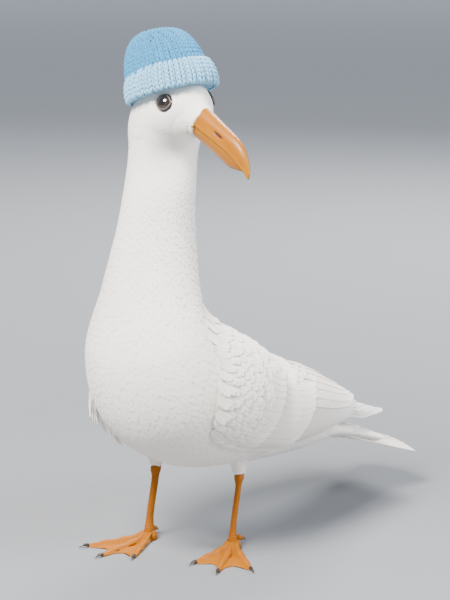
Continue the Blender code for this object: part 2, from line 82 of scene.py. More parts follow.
placeOnFloor = np.array([-0.0167, -0.1034, 0.0])  # the bird's own axes to the frame's
fullTurn = 2 * math.pi


def past(x, start, span):
    # how far x is past the start, as a share of the span, kept between 0 and 1
    return np.clip((x - start) / span, 0, 1)


def eased(x):
    # a share from 0 to 1 that starts and stops gently
    return x * x * (3 - 2 * x)


def rowsOf(low, high, count):
    return np.linspace(low, high, count)[:, None]


def circleOf(count):
    return np.linspace(0, fullTurn, count, endpoint=False)[None, :]


def unit(v):
    return v / np.maximum(np.linalg.norm(v, axis=-1, keepdims=True), 1e-12)


def smoothRows(rows, at):
    # Hermite curve through evenly numbered rows, its slopes from the rows on each side
    rows = np.asarray(rows, float)
    asked = np.asarray(at, float)
    at = np.clip(asked, 0, len(rows) - 1)
    slope = np.gradient(rows, axis=0)
    low = np.minimum(at.astype(int), len(rows) - 2)
    t = (at - low)[..., None]
    a, b, da, db = rows[low], rows[low + 1], slope[low], slope[low + 1]
    beyond = (asked - at)[..., None] * np.where(t > 0.5, db, da)
    return ((1 + 2 * t) * (1 - t) ** 2 * a + t**2 * (3 - 2 * t) * b
            + t * (1 - t) ** 2 * da - t**2 * (1 - t) * db + beyond)


def axes(heading, pitch):
    # the directions ahead and up of something that faces a heading and is raised by a pitch
    h, p = math.radians(heading), math.radians(pitch)
    level, up = np.array([math.sin(h), -math.cos(h), 0.0]), np.array([0.0, 0.0, 1.0])
    return level * math.cos(p) + up * math.sin(p), up * math.cos(p) - level * math.sin(p)


billForward, billUp = axes(head["heading"], head["billPitch"])
billAcross = np.cross(billForward, billUp)
throat = np.array(head["throat"])
billRoot = throat + billUp * head["fan"]["forehead"][1] + billForward * head["billBase"]


def bodyRows():
    rows = [(h, p, 0.0, y, z, w, up, down, 0.0) for h, p, y, z, w, up, down in spine.values()]
    for name, (pitch, reach, w, up, down) in head["fan"].items():
        centre = throat + axes(head["heading"], pitch)[1] * reach
        rows.append((head["heading"], pitch, *centre, w, up, down, 0.0 if name == "nape" else head["egg"]))
    rows.append((head["heading"], head["billPitch"], *billRoot, *head["baseHalf"], 0.0))
    return np.array(rows)


mark = {name: i for i, name in enumerate([*spine, *head["fan"], "billRoot"])}
bodyTable = bodyRows()
bedTable = np.array([(0, p, 0.0, y, z, w, up, down, 0.0) for p, y, z, w, up, down in wingBed.values()]
                    + [tuple(row) for row in bodyTable[mark["hips"]:mark["midNeck"]]])


def near(**stops):
    # a function of the place along the bird that runs straight from each named section's value to the next
    places, values = [mark[name] for name in stops], list(stops.values())
    return lambda u, v=None: np.interp(u, places, values)


def sectionPoints(rows, at, around, out=0.0):
    # an egg-shaped ring about the spine: width times the cosine to the bird's left, rise or drop times sine
    row = smoothRows(rows, at)
    heading, pitch = np.radians(row[..., 0]), np.radians(row[..., 1])
    level = np.stack([np.sin(heading), -np.cos(heading), 0 * heading], -1)
    upward = np.array([0, 0, 1]) * np.cos(pitch)[..., None] - level * np.sin(pitch)[..., None]
    left = np.stack([np.cos(heading), np.sin(heading), 0 * heading], -1)
    c, s = np.cos(around), np.sin(around)
    width = (row[..., 5] + out) * (1 - row[..., 8] * s)
    height = np.where(s > 0, row[..., 6], row[..., 7]) + out
    return row[..., 2:5] + left * (width * c)[..., None] + upward * (height * s)[..., None] + placeOnFloor


def bodySurface(u, v, out=0.0):
    # u is the place along the bird in sections, v the angle round it from the bird's left
    return sectionPoints(bodyTable, u, v, out)


def surfaceFrame(surface, u, v):
    # the two edges of a small cell of the surface and the direction square to both, pointing out
    step, raised = 0.004, 0.001
    alongU = (surface(u + step, v) - surface(u - step, v)) / (2 * step)
    alongV = (surface(u, v + step) - surface(u, v - step)) / (2 * step)
    outward = unit(np.cross(alongV, alongU))
    outward *= np.sign(np.sum(outward * (surface(u, v, raised) - surface(u, v)), -1, keepdims=True))
    return alongU, alongV, outward


def linked(name, data):
    thing = bpy.data.objects.new(name, data)
    bpy.context.collection.objects.link(thing)
    return thing


def buildMesh(name, points, faces, material, values=None, patch=None):
    # faces is an array of quads; values and the patch of the coat's map are given for each vertex
    mesh = bpy.data.meshes.new(name)
    mesh.from_pydata(points.reshape(-1, 3), [], faces, shade_flat=False)
    if patch is not None:
        layer = mesh.uv_layers.new(name="OFBake")
        layer.data.foreach_set("uv", patch.reshape(-1, 2)[faces].ravel())
    for title, value in (values or {}).items():
        mesh.attributes.new(title, "FLOAT", "POINT").data.foreach_set("value", value.ravel())
    mesh.validate()
    mesh.materials.append(material)
    return linked(name, mesh)


def gridFaces(rows, columns, wrap=False):
    i = np.arange(rows - 1)[:, None]
    j = np.arange(columns if wrap else columns - 1)[None, :]
    k = (j + 1) % columns
    quads = np.stack([i * columns + j, i * columns + k, (i + 1) * columns + k, (i + 1) * columns + j], -1)
    return quads.reshape(-1, 4)


def repeatedFaces(quads, count, size):
    # the same quads for each of many like pieces, every piece with its own run of vertices
    return (quads[None] + (np.arange(count) * size)[:, None, None]).reshape(-1, 4)


def closedTube(rings):
    # rings of points, with a point at each end, so that both ends are closed fans of thin quads
    rows, columns = rings.shape[:2]
    start, stop = (np.repeat(ring.mean(1, keepdims=True), columns, 1) for ring in (rings[:1], rings[-1:]))
    return np.concatenate([start, rings, stop]), gridFaces(rows + 2, columns, wrap=True)


def tidied(thing):
    shell = bmesh.new()
    shell.from_mesh(thing.data)
    bmesh.ops.remove_doubles(shell, verts=shell.verts, dist=1e-7)
    bmesh.ops.recalc_face_normals(shell, faces=shell.faces)
    shell.to_mesh(thing.data)
    shell.free()
    return thing


def tube(name, rings, material, **values):
    # one closed piece from rings of points, with values given for each point of the rings
    points, faces = closedTube(rings)
    capped = {title: np.concatenate([value[:1], value, value[-1:]]) for title, value in values.items()}
    return tidied(buildMesh(name, points, faces, material, capped))


def pipe(path, first, second, angle, radius, other):
    # an oval ring round each point of a path, in the plane of two directions
    return (path[:, None, :] + first[:, None, :] * (radius * np.cos(angle))[..., None]
            + second[:, None, :] * (other * np.sin(angle))[..., None])


def place(thing, slot, *nodes):
    # the whole bird is one body; the nodes are those that the piece stands for
    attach(thing, "root")
    if nodes:
        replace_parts(thing, *nodes)


# Materials

def newMaterial(name, sockets):
    material = bpy.data.materials.new(name)
    material.use_nodes = True
    shader = material.node_tree.nodes["Principled BSDF"]
    for socket, value in sockets.items():
        shader.inputs[socket].default_value = value
    return material, material.node_tree, shader


def feed(tree, value, socket):
    # a number or a colour is set on the socket, anything else is linked to it
    if isinstance(value, tuple):
        socket.default_value = (*value, 1.0)
    elif isinstance(value, (int, float)):
        socket.default_value = value
    else:
        tree.links.new(value, socket)


def colourMix(tree, factor, first, second):
    node = tree.nodes.new("ShaderNodeMix")
    node.data_type = "RGBA"
    for number, value in ((0, factor), (6, first), (7, second)):
        feed(tree, value, node.inputs[number])
    return node.outputs[2]


def mathNode(tree, operation, first, second=0.5):
    node = tree.nodes.new("ShaderNodeMath")
    node.operation = operation
    feed(tree, first, node.inputs[0])
    feed(tree, second, node.inputs[1])
    return node.outputs[0]


def times(tree, first, second):
    return mathNode(tree, "MULTIPLY", first, second)


def plus(tree, first, second):
    return mathNode(tree, "ADD", first, second)


def minus(tree, first, second):
    return mathNode(tree, "SUBTRACT", first, second)


def attribute(tree, name):
    node = tree.nodes.new("ShaderNodeAttribute")
    node.attribute_name = name
    return node.outputs["Fac"]


def objectPlace(tree):
    return tree.nodes.new("ShaderNodeTexCoord").outputs["Object"]


def noise(tree, scale, detail=3.0):
    node = tree.nodes.new("ShaderNodeTexNoise")
    for socket, value in (("Scale", scale), ("Detail", detail), ("Vector", objectPlace(tree))):
        feed(tree, value, node.inputs[socket])
    return node.outputs["Fac"]


def ramp(tree, value, *stops):
    # the stops are (place, colour) pairs in order
    node = tree.nodes.new("ShaderNodeValToRGB")
    feed(tree, value, node.inputs["Fac"])
    band = node.color_ramp
    for place, colour in stops[2:]:
        band.elements.new(place)
    for element, (place, colour) in zip(band.elements, stops):
        element.position = place
        element.color = (*colour, 1.0)
    return node.outputs["Color"]


def bump(tree, shader, height, distance, strength):
    node = tree.nodes.new("ShaderNodeBump")
    for socket, value in (("Distance", distance), ("Strength", strength), ("Height", height)):
        feed(tree, value, node.inputs[socket])
    feed(tree, node.outputs["Normal"], shader.inputs["Normal"])


# shadow is the grey of the painted shade at the feather roots, and also the darker grey of the shafts and of
# the skin
plumageLook = {"white": (0.92, 0.865, 0.8), "shadow": (0.7, 0.63, 0.56), "edge": (0.95, 0.918, 0.87)}


def vaneGroup():
    # fine barbs slanting back from the shaft, as a wave across the vane, and a pale shaft down its middle
    slant, waveHeight, shaftPower = 0.35, 0.12, 14.0
    group = bpy.data.node_groups.new("vane", "ShaderNodeTree")
    socket = group.interface.new_socket
    socket("Barbs", in_out="INPUT", socket_type="NodeSocketFloat")
    socket("Height", in_out="OUTPUT", socket_type="NodeSocketFloat")
    socket("Shaft", in_out="OUTPUT", socket_type="NodeSocketFloat")
    entry, leave = group.nodes.new("NodeGroupInput"), group.nodes.new("NodeGroupOutput")
    side = mathNode(group, "ABSOLUTE", attribute(group, "across"))
    back = minus(group, attribute(group, "along"), times(group, side, slant))
    wave = mathNode(group, "SINE", times(group, times(group, back, entry.outputs[0]), 6.28))
    middle = minus(group, 1.0, mathNode(group, "MINIMUM", 1.0, side))
    shaft = mathNode(group, "POWER", middle, shaftPower)
    feed(group, plus(group, times(group, wave, waveHeight), shaft), leave.inputs[0])
    feed(group, shaft, leave.inputs[1])
    return group


vane = vaneGroup()


def plumageMaterial(name, barbs, relief, shaftTone):
    material, tree, shader = newMaterial(name, {
        "Roughness": 0.72, "Sheen Weight": 0.25, "Sheen Roughness": 0.5, "Specular IOR Level": 0.25,
        "Subsurface Weight": 0.08, "Subsurface Radius": (0.004, 0.003, 0.0025)})
    detail = tree.nodes.new("ShaderNodeGroup")
    detail.node_tree = vane
    detail.inputs["Barbs"].default_value = barbs
    # the tone mixes white towards the shadow grey: random tone, and painted shade at the feather roots
    body = colourMix(tree, attribute(tree, "tone"), plumageLook["shadow"], plumageLook["white"])
    tipped = colourMix(tree, attribute(tree, "tip"), body, plumageLook["edge"])
    shaft = times(tree, detail.outputs["Shaft"], shaftTone)
    feed(tree, colourMix(tree, shaft, tipped, plumageLook["shadow"]), shader.inputs["Base Color"])
    bump(tree, shader, detail.outputs["Height"], relief, 0.6)
    return material


softPlumage = plumageMaterial("soft plumage", 12.0, 0.0001, 0.15)
wingPlumage = plumageMaterial("wing plumage", 24.0, 0.00032, 0.6)
flightPlumage = plumageMaterial("flight plumage", 60.0, 0.0005, 0.8)


def skinMaterial():
    material, tree, shader = newMaterial("skin", {"Roughness": 0.8})
    tint = colourMix(tree, noise(tree, 60.0), plumageLook["shadow"], plumageLook["white"])
    feed(tree, tint, shader.inputs["Base Color"])
    return material


skinLook = skinMaterial()

# Feathers

coatCount = {}
coatMap = {"across": 0.0014, "along": 0.0028}  # half width and length of a feather's patch on the coat's map
quad = 2  # triangles in a face


def bakePatch(x, y, across, along):
    return np.stack([x + coatMap["across"] * across, y + coatMap["along"] * (along - 0.5)], -1)


def vaneShape(rows, columns, look):
    # a leaf on a grid: narrow at the quill, widest past the middle, its tip round and cut into a fringe
    base, widest = look["base"], 0.62
    t = rowsOf(0, 1, rows) + np.zeros((1, columns))
    c = rowsOf(-1, 1, columns).T + np.zeros((rows, 1))
    width = base + (1 - base) * np.sin(np.clip(t / widest, 0, 1) * math.pi / 2) ** 1.2
    width = width * (1 - 0.1 * np.clip(t - widest, 0, 1) / (1 - widest))
    teeth = (np.arange(columns) % 2)[None, :] * look["fringe"] * past(t, 0.6, 0.4) ** 2
    length = t * (1 - look["roundness"] * 1.25 * (1 - np.sqrt(1 - 0.96 * c**2))) - teeth
    return length, c * width, t, c


def solveStep(step, alongU, alongV):
    # what a step over the surface changes in u and v, solved in the metric of the surface's own cell edges
    stepU, stepV = (np.einsum("n...j,nj->n...", step, edge) for edge in (alongU, alongV))
    shaped = (-1,) + (1,) * (stepU.ndim - 1)
    pairs = ((alongU, alongU), (alongV, alongV), (alongU, alongV))
    uu, vv, uv = (np.sum(first * second, -1).reshape(shaped) for first, second in pairs)
    det = uu * vv - uv * uv
    return (stepU * vv - stepV * uv) / det, (stepV * uu - stepU * uv) / det


# fade paints shade on each feather: its tone darkens from the tip towards the root, where the feather above
# would shade it
feather = {"camber": 0.05, "fringe": 0.1, "lift": 0.3, "base": 0.34, "jitter": 0.1, "curl": 0.0,
           "roundness": 0.3, "tone": (0.8, 1.0), "tipTone": 0.8, "fade": 0.25, "roll": 0.0, "stack": 0.0,
           "reach": (0.9, 0.3)}


def plumes(name, surface, u, v, turn, length, width, sink, rise, material, shape, **changes):
    # Each feather walks back over the surface from its root row by row, so that it wraps round the body.
    # Its height runs from the sunken quill to the raised tip, less its arch and the curl at the tip.
    look = {**feather, **changes}
    jitter, reachU, reachV = look["jitter"], *look["reach"]
    count = len(u)
    one = np.ones(count)
    length = one * length * (1 + jitter * rng.uniform(-1, 1, count))
    width = one * width * (1 + jitter * rng.uniform(-1, 1, count))
    turn = one * turn + jitter * 0.9 * rng.uniform(-1, 1, count)
    sink, rise = one * sink, one * rise * (1 + look["lift"] * rng.uniform(-1, 1, count))
    rows, columns = shape
    shaft = columns // 2
    l, w, t, c = vaneShape(rows, columns, look)
    points = np.zeros((count, rows, columns, 3))
    atU, atV = u.copy(), v.copy()
    for i in range(rows):
        alongU, alongV, outward = surfaceFrame(surface, atU, atV)
        tailward = unit(-alongU)
        sideways = unit(np.cross(outward, tailward))
        lie = tailward * np.cos(turn)[:, None] + sideways * np.sin(turn)[:, None]
        flank = np.cross(outward, lie)
        behind = (l[i] - l[i, shaft])[None, :] * length[:, None]
        spread = w[i][None, :] * width[:, None]
        step = lie[:, None, :] * behind[..., None] + flank[:, None, :] * spread[..., None]
        du, dv = solveStep(step, alongU, alongV)
        raised = (sink + rise)[:, None] * np.clip(l[i], 0, 1) ** 1.15
        height = (one * look["stack"] - sink)[:, None] + raised - look["camber"] * width[:, None] * c[i] ** 2
        height = height - look["curl"] * length[:, None] * max(t[i, 0] - 0.6, 0) ** 2
        height = height + look["roll"] * width[:, None] * c[i]
        points[:, i] = surface(atU[:, None] + np.clip(du, -reachU, reachU),
                               atV[:, None] + np.clip(dv, -2 * reachV, 2 * reachV), height)
        if i < rows - 1:
            ahead = (length * (l[i + 1, shaft] - l[i, shaft]))[:, None]
            du, dv = solveStep(lie * ahead, alongU, alongV)
            atU, atV = atU + np.clip(du, -reachU, reachU), atV + np.clip(dv, -reachV, reachV)
    extent = np.linalg.norm(points - points[:, :1, shaft:shaft + 1], axis=-1).max((1, 2))
    keep = extent < 1.25 * length + 1.2 * width
    for eye in eyes if surface in aroundEyes else ():
        keep &= (np.linalg.norm(points - eye, axis=-1) > eyeLook["radius"] + eyeLook["clear"]).all((1, 2))
    points, u, v = points[keep], u[keep], v[keep]
    count = len(u)
    tt, cc = (grid.ravel()[None, :] * np.ones((count, 1)) for grid in (t, c))
    rootU, rootV = (0.01 + 0.98 * (x - x.min()) / (np.ptp(x) + 1e-6) for x in (u, v))
    patch = bakePatch(rootV[:, None], rootU[:, None], cc, tt)
    # each feather's tone is random, times painted shade that darkens it towards its root
    tones = rng.uniform(*look["tone"], count)[:, None] * (1 - look["fade"] * (1 - tt**2))
    values = {"tone": np.clip(tones, 0, 1), "tip": tt**3 * look["tipTone"], "across": cc, "along": tt}
    faces = repeatedFaces(gridFaces(rows, columns), count, rows * columns)
    coatCount[name] = len(faces) * quad
    return buildMesh(name, points, faces, material, values, patch)


def scatter(surface, rangeU, rangeV, spacing, keep=None):
    # roots spread evenly by area: a low-discrepancy sequence put through the area's running sum
    rows, columns, h = 160, 240, 1e-3
    gu, gv = np.linspace(*rangeU, rows), np.linspace(*rangeV, columns)
    mu, mv = np.meshgrid((gu[:-1] + gu[1:]) / 2, (gv[:-1] + gv[1:]) / 2, indexing="ij")
    du = (surface(mu + h, mv) - surface(mu - h, mv)) / (2 * h) * (gu[1] - gu[0])
    dv = (surface(mu, mv + h) - surface(mu, mv - h)) / (2 * h) * (gv[1] - gv[0])
    gap = spacing(mu, mv) if callable(spacing) else spacing
    weight = np.linalg.norm(np.cross(du, dv), axis=-1) / gap**2
    if keep is not None:
        weight = weight * keep(mu, mv)
    total = weight.sum()
    k = np.arange(int(total))
    first, second = (0.5 + k * 0.7548776662) % 1, (0.5 + k * 0.569840291) % 1
    rowSum = weight.sum(1)
    u = np.interp(first, np.concatenate([[0], np.cumsum(rowSum)]) / total, gu)
    row = np.clip(np.searchsorted(gu, u) - 1, 0, rows - 2)
    inner = np.concatenate([np.zeros((rows - 1, 1)), np.cumsum(weight, 1)], 1)
    # each row's running sum stays just under the start of the next one's
    inner = inner / np.maximum(rowSum, 1e-12)[:, None] * 0.999999
    flat = (inner + np.arange(rows - 1)[:, None]).ravel()
    return u, np.interp(row + second * 0.999998, flat, np.tile(gv, rows - 1))


# Hat frame, eyes, wing frame and what the coat keeps clear of

hatPlace = {"tilt": 18, "centre": (-0.0192, 0.0512), "cuffHeight": 0.024, "cuffHalf": (0.0462, 0.0385),
            "cuffLean": (0.0035, 0.0045), "crownHalf": (0.0405, 0.0345), "crownHeight": 0.056,
            "crownRound": 0.62, "gathered": 0.995, "fold": 0.0011, "slouch": 0.012, "coverFrom": 0.01}
brim, hatUp = axes(head["heading"], hatPlace["tilt"])
hatAcross = np.cross(brim, hatUp)
hatCentre = (throat + axes(head["heading"], 0)[0] * hatPlace["centre"][0]
             + np.array([0, 0, hatPlace["centre"][1]]) + placeOnFloor)

eyeLook = {"radius": 0.0088, "flat": 0.96, "sunk": 0.0062, "share": 0.38, "above": 13, "clear": 0.0002,
           "iris": 0.75, "rim": 0.745, "lid": 0.00075}
eyeAt = np.array(mark["brow"] + eyeLook["share"])
eyeAngles = np.radians([eyeLook["above"], 180 - eyeLook["above"]])
eyes = [bodySurface(eyeAt, angle, -eyeLook["sunk"]) for angle in eyeAngles]
aroundEyes = [bodySurface]  # the surfaces whose feathers keep clear of the eyes

# The wrist's place along the bird, and how far the wing's low edge trails back
wingPose = {"wrist": 7.4, "lean": 1.5, "farthest": 1.2}


def wingEdges(a):
    # lower and upper edge of the folded wing in degrees round the body, a running from the wrist to the tip
    a = np.clip(a, 0, 1)
    corner = past(a, 0, 0.16)
    corner = corner * (2 - corner)
    low = -10 - 22 * corner + 22 * past(a, 0.35, 0.65) + 48 * past(a, 0.5, 0.5) ** 1.6
    return low, 38 + 14 * corner + 32 * a


def trail(a, b):
    # how far the low edge of the wing hangs back, growing from the wrist to the tip
    return wingPose["lean"] * (1 - b) * np.clip(1 - a, 0, wingPose["farthest"]) ** 3


def handLift(a, swell):
    return 0.0022 + 0.002 * swell**0.5


def coverLift(a, swell):
    # highest along the middle of the wing, easing to nothing at its front, a step up over the flight feathers
    fade = eased(past(a, -0.06, 0.38)) * (1 - 0.55 * past(a, 0.3, 0.45))
    lift = 0.001 + 0.0043 * past(a, 0.4, 0.05) + 0.0012 + 0.0093 * swell**0.55 * fade
    return lift * eased(past(a, -0.07, 0.13))


def wingSurface(side, liftOf=coverLift):
    # the outer face of the folded wing; u runs from the tip (0) to the wrist (1), v from the low edge up
    nudge = 0.02

    def surface(u, v, out=0.0):
        a = np.clip(1 - u, -0.16, 1.1)
        low, top = wingEdges(a)
        angle = np.radians(low + (top - low) * v)
        at = wingPose["wrist"] * (1 - a) - trail(a, v)
        base = sectionPoints(bedTable, at, angle)
        along = sectionPoints(bedTable, at + nudge, angle) - base
        around = sectionPoints(bedTable, at, angle + nudge) - base
        lift = liftOf(a, np.sin(math.pi * np.clip(v, 0, 1)))
        lifted = base + unit(np.cross(around, along)) * (lift + out)[..., None] - placeOnFloor
        return lifted * np.array([side, 1, 1]) + placeOnFloor
    return surface


def wingPlace(u, v):
    # a point of the body in the wing's terms: its angle, the wing's two edges there, its way from the wrist
    angle = (np.degrees(v) + 90) % 360 - 90
    angle = np.where(angle > 90, 180 - angle, angle)
    a = 1 - u / wingPose["wrist"]
    for _ in range(4):
        low, top = wingEdges(a)
        a = 1 - (u + trail(a, past(angle, low, top - low))) / wingPose["wrist"]
    return angle, low, top, a


def underWing(u, v):
    angle, low, top, a = wingPlace(u, v)
    ahead = (u > mark["hips"]) & (a > 0.07) & (angle > low + 14) & (angle < top - 9)
    behind = (u <= mark["hips"]) & (u > mark["vent"]) & (angle > 26) & (angle < 52)
    return ahead | behind


def underHat(u, v):
    height = (bodySurface(u, v) - hatCentre) @ hatUp
    return (u > mark["nape"]) & (height > hatPlace["coverFrom"])


# Thighs: cones of feathers from the heel joint up into the belly

thighLook = {"left": ((0.028, 0.041), (0.034, 0.018)), "right": ((-0.049, 0.009), (-0.038, 0.006)),
             "heights": (0.0755, 0.14), "radii": (0.0066, 0.02)}


def thighSurface(name):
    # a cone from the heel joint (u 0) up into the belly (u 1), a little longer than it is wide
    low, high = (np.array([*spot, height]) for spot, height in zip(thighLook[name], thighLook["heights"]))
    thin, thick = thighLook["radii"]

    def surface(u, v, out=0.0):
        t = np.clip(u, -0.2, 1.1)
        level = eased(t)[..., None]
        path = low + (high - low) * np.concatenate([level, level, t[..., None]], -1)
        r = thin + (thick - thin) * np.clip(t, 0, 1.1) ** 0.85 + 0.02 * np.minimum(t, 0)
        x, y = (r * 0.92 + out) * np.cos(v), (r * 1.12 + out) * np.sin(v)
        return path + np.stack([x, y, 0 * x], -1) + placeOnFloor
    return surface


# Skin: one closed surface under the whole coat

skinLie = {"body": near(tailTip=0.0005, tailRoot=0.0034, hips=0.0034, breast=0.0026, neckBase=0.0023,
                        midNeck=0.0019, nape=0.0014, brow=0.0011, billRoot=0.0007),
           "wing": 0.003, "wingDeep": 0.01, "thigh": 0.0018, "cell": 0.0026, "rounds": 4}


def bodySkin():
    u = rowsOf(0.9, mark["billRoot"] - 0.02, 130)
    return bodySurface(u, circleOf(72), -skinLie["body"](u))


def wingSkin(side):
    # the outer face and, turned back behind it, an inner one that bulges into the body
    surface = wingSurface(side)
    a, b = rowsOf(0.02, 0.66, 40), rowsOf(0.05, 0.97, 18).T
    edge = np.sin(math.pi * rowsOf(0.02, 0.98, 18).T) ** 0.5
    outer = surface(1 - a, b, -skinLie["wing"])
    inner = surface(1 - a, b, -skinLie["wing"] - skinLie["wingDeep"] * edge)
    return np.concatenate([outer, inner[:, ::-1]], 1)


def thighSkin(name):
    return thighSurface(name)(rowsOf(0.0, 0.8, 20), circleOf(30), -skinLie["thigh"])


def makeSkin():
    points, faces, offset = [], [], 0
    for rings in (bodySkin(), wingSkin(1), wingSkin(-1), thighSkin("left"), thighSkin("right")):
        p, f = closedTube(rings)
        points.append(p.reshape(-1, 3))
        faces.append(f + offset)
        offset += len(points[-1])
    skin = tidied(buildMesh("skin", np.concatenate(points), np.concatenate(faces), skinLook))
    remesh = skin.modifiers.new("one skin", "REMESH")
    remesh.mode = "VOXEL"
    remesh.voxel_size = skinLie["cell"]
    soften = skin.modifiers.new("soften", "SMOOTH")
    soften.iterations = skinLie["rounds"]
    bpy.context.view_layer.update()
    joined = bpy.data.meshes.new_from_object(skin.evaluated_get(bpy.context.evaluated_depsgraph_get()))
    skin.modifiers.clear()
    skin.data = joined
    joined.materials.clear()
    joined.materials.append(skinLook)
    joined.shade_smooth()
    return skin


skin = makeSkin()
print("skin", len(skin.data.polygons))

# Coat of the head, neck and body

coat = []


def bodyCoat(name, span, gap, keep=None, **look):
    # span is (section, offset, section, offset) along the bird; the sizes may be functions of the place there
    def wanted(u, v):
        hidden = underWing(u, v) | underHat(u, v)
        return ~hidden if keep is None else ~hidden & keep(u, v)
    reach = (mark[span[0]] + span[1], mark[span[2]] + span[3])
    u, v = scatter(bodySurface, reach, (0.0, fullTurn), gap, wanted)
    sizes = [look.pop(size) for size in ("length", "width", "sink", "rise")]
    sizes = [size(u) if callable(size) else size for size in sizes]
    coat.append(plumes(name, bodySurface, u, v, 0.0, *sizes, softPlumage, **look))


def onBreast(u, v):
    return np.sin(v) < 0.35


def onBack(u, v):
    return ~onBreast(u, v)


def aheadOfWing(u, v):
    # the strip of the breast just ahead of each folded wing, whose feathers lie over the wing's front
    angle, low, top, a = wingPlace(u, v)
    return (a > -0.09) & (a < 0.045) & (angle > low - 6) & (angle < top + 4)


face = {"span": ("upperNeck", 0.6, "billRoot", -0.03), "gap": near(nape=0.0022, brow=0.0016, billRoot=0.0011),
        "length": near(nape=0.009, brow=0.0066, billRoot=0.0042),
        "width": near(nape=0.0019, brow=0.0013, billRoot=0.0008),
        "sink": near(nape=0.0012, brow=0.0009, billRoot=0.0006), "rise": -0.0002,
        "shape": (4, 5), "fringe": 0.14, "curl": 0.14}
bodyCoat("face_feathers", **face)

neck = {"span": ("shoulder", 0.3, "nape", 0.4), "gap": near(shoulder=0.0044, nape=0.0024),
        "length": near(shoulder=0.019, nape=0.0105), "width": near(shoulder=0.004, nape=0.0021),
        "sink": near(shoulder=0.0022, nape=0.0014), "rise": -0.0002,
        "shape": (5, 7), "curl": 0.11}
bodyCoat("neck_feathers", **neck)

throatLook = {"rows": 72, "columns": 41, "rounds": 46, "from": ("midNeck", 0.35), "to": ("billRoot", -0.12),
              "around": (-192, 12), "gap": 0.0017, "length": (0.011, 0.0052), "width": (0.0022, 0.001),
              "sink": (0.0016, 0.0007)}


def throatGrid():
    # the body's surface from the neck to the chin, evened out along it so that the throat's fold is filled
    rows, columns = throatLook["rows"], throatLook["columns"]
    start, stop = (mark[name] + offset for name, offset in (throatLook["from"], throatLook["to"]))
    u, v = rowsOf(start, stop, 4 * rows), np.radians(rowsOf(*throatLook["around"], columns).T)
    grid = bodySurface(u + 0 * v, v + 0 * u, 0.0001)
    even = np.linspace(0, 1, rows)
    for _ in range(2):
        run = np.cumsum(np.linalg.norm(np.diff(grid, axis=0), axis=-1), 0)
        run = np.concatenate([np.zeros((1, columns)), run])
        grid = np.stack([[np.interp(even * run[-1, j], run[:, j], grid[:, j, k]) for j in range(columns)]
                         for k in range(3)]).T
        for _ in range(throatLook["rounds"]):
            grid[1:-1] = 0.5 * grid[1:-1] + 0.25 * (grid[:-2] + grid[2:])
    return grid


def gridSurface(grid):
    # a surface through a grid of points, straight between them, with its height along the grid's own normals
    normal = unit(np.cross(np.gradient(grid, axis=1), np.gradient(grid, axis=0)))

    def surface(u, v, out=0.0):
        u, v = np.broadcast_arrays(u, v)
        i = np.clip(u.astype(int), 0, grid.shape[0] - 2)
        j = np.clip(v.astype(int), 0, grid.shape[1] - 2)
        a, b = (u - i)[..., None], (v - j)[..., None]

        def between(values):
            return ((1 - a) * ((1 - b) * values[i, j] + b * values[i, j + 1])
                    + a * ((1 - b) * values[i + 1, j] + b * values[i + 1, j + 1]))
        return between(grid) + between(normal) * np.asarray(out)[..., None]
    return surface


def throatFeathers():
    # roots and sizes are in rows and columns of the grid; the feathers lie lower towards the patch's edges
    surface = gridSurface(throatGrid())
    aroundEyes.append(surface)
    u, v = scatter(surface, (10.0, 69.5), (0.5, 39.5), throatLook["gap"])
    inside = np.clip(np.minimum(np.minimum((u - 10) / 9, (71 - u) / 8), (20 - np.abs(v - 20)) / 7), 0, 1)
    sizes = [np.interp(u, (0, 70), throatLook[size]) for size in ("length", "width", "sink")]
    coat.append(plumes("throat_feathers", surface, u, v, 0.0, *sizes, -0.0001 - 0.0009 * (1 - inside),
                       softPlumage, shape=(5, 5), curl=0.1, reach=(9.0, 9.0)))


throatFeathers()

breast = {"span": ("vent", 0.2, "shoulder", 0.5), "gap": near(vent=0.0056, belly=0.0047, shoulder=0.0041),
          "length": near(vent=0.027, belly=0.024, shoulder=0.019),
          "width": near(vent=0.006, belly=0.0048, shoulder=0.0037),
          "sink": near(vent=0.0028, belly=0.0022, shoulder=0.002), "rise": -0.0002, "keep": onBreast,
          "shape": (6, 7), "camber": 0.04, "fringe": 0.12, "curl": 0.1}
bodyCoat("breast_feathers", **breast)

back = {"span": ("vent", 0.2, "shoulder", 0.5), "gap": 0.0066, "length": 0.025, "width": 0.007,
        "sink": 0.0024, "rise": 0.002, "keep": onBack, "shape": (7, 9), "camber": 0.1, "fringe": 0.05,
        "roundness": 0.4}
bodyCoat("back_feathers", **back)

wrist = {"span": ("belly", 0.0, "shoulder", 0.9), "gap": 0.0034, "length": 0.019, "width": 0.0044,
         "sink": 0.002, "rise": 0.0048, "keep": aheadOfWing, "shape": (7, 7), "lift": 0.25, "curl": 0.16}
bodyCoat("wrist_feathers", **wrist)

tuft = {"places": ((7.4, -127), (7.1, -132), (6.78, -126)), "count": 15, "spread": (0.08, 4.5),
        "lean": 0.34, "length": 0.025, "width": 0.0032, "sink": 0.0022, "rise": 0.008}


def breastTufts():
    # three loose tufts on the right of the breast: long narrow feathers that lean together toward one tip
    offset = rng.uniform(-1, 1, (2, len(tuft["places"]) * tuft["count"]))
    middle = np.repeat(np.array(tuft["places"]), tuft["count"], axis=0).T
    u, v = middle + offset * np.array(tuft["spread"])[:, None]
    rise = tuft["rise"] * (1 - 0.5 * np.abs(offset[1]))
    coat.append(plumes("breast_tufts", bodySurface, u, np.radians(v), tuft["lean"] * offset[1],
                       tuft["length"], tuft["width"], tuft["sink"], rise, softPlumage, shape=(9, 7),
                       camber=0.1, fringe=0.06, lift=0.1, roundness=0.75, jitter=0.05, curl=-0.25))


breastTufts()

covert = {"span": ("tailMiddle", 0.45, "vent", 0.3), "gap": 0.0068, "length": 0.038, "width": 0.0078,
          "sink": 0.003, "rise": lambda u: np.interp(u, (0.5, 3.0), (0.0024, 0.0018)), "shape": (9, 9),
          "camber": 0.08, "fringe": 0.05, "lift": 0.1, "roundness": 0.45}
bodyCoat("tail_coverts", **covert)
print("body coat", coatCount)
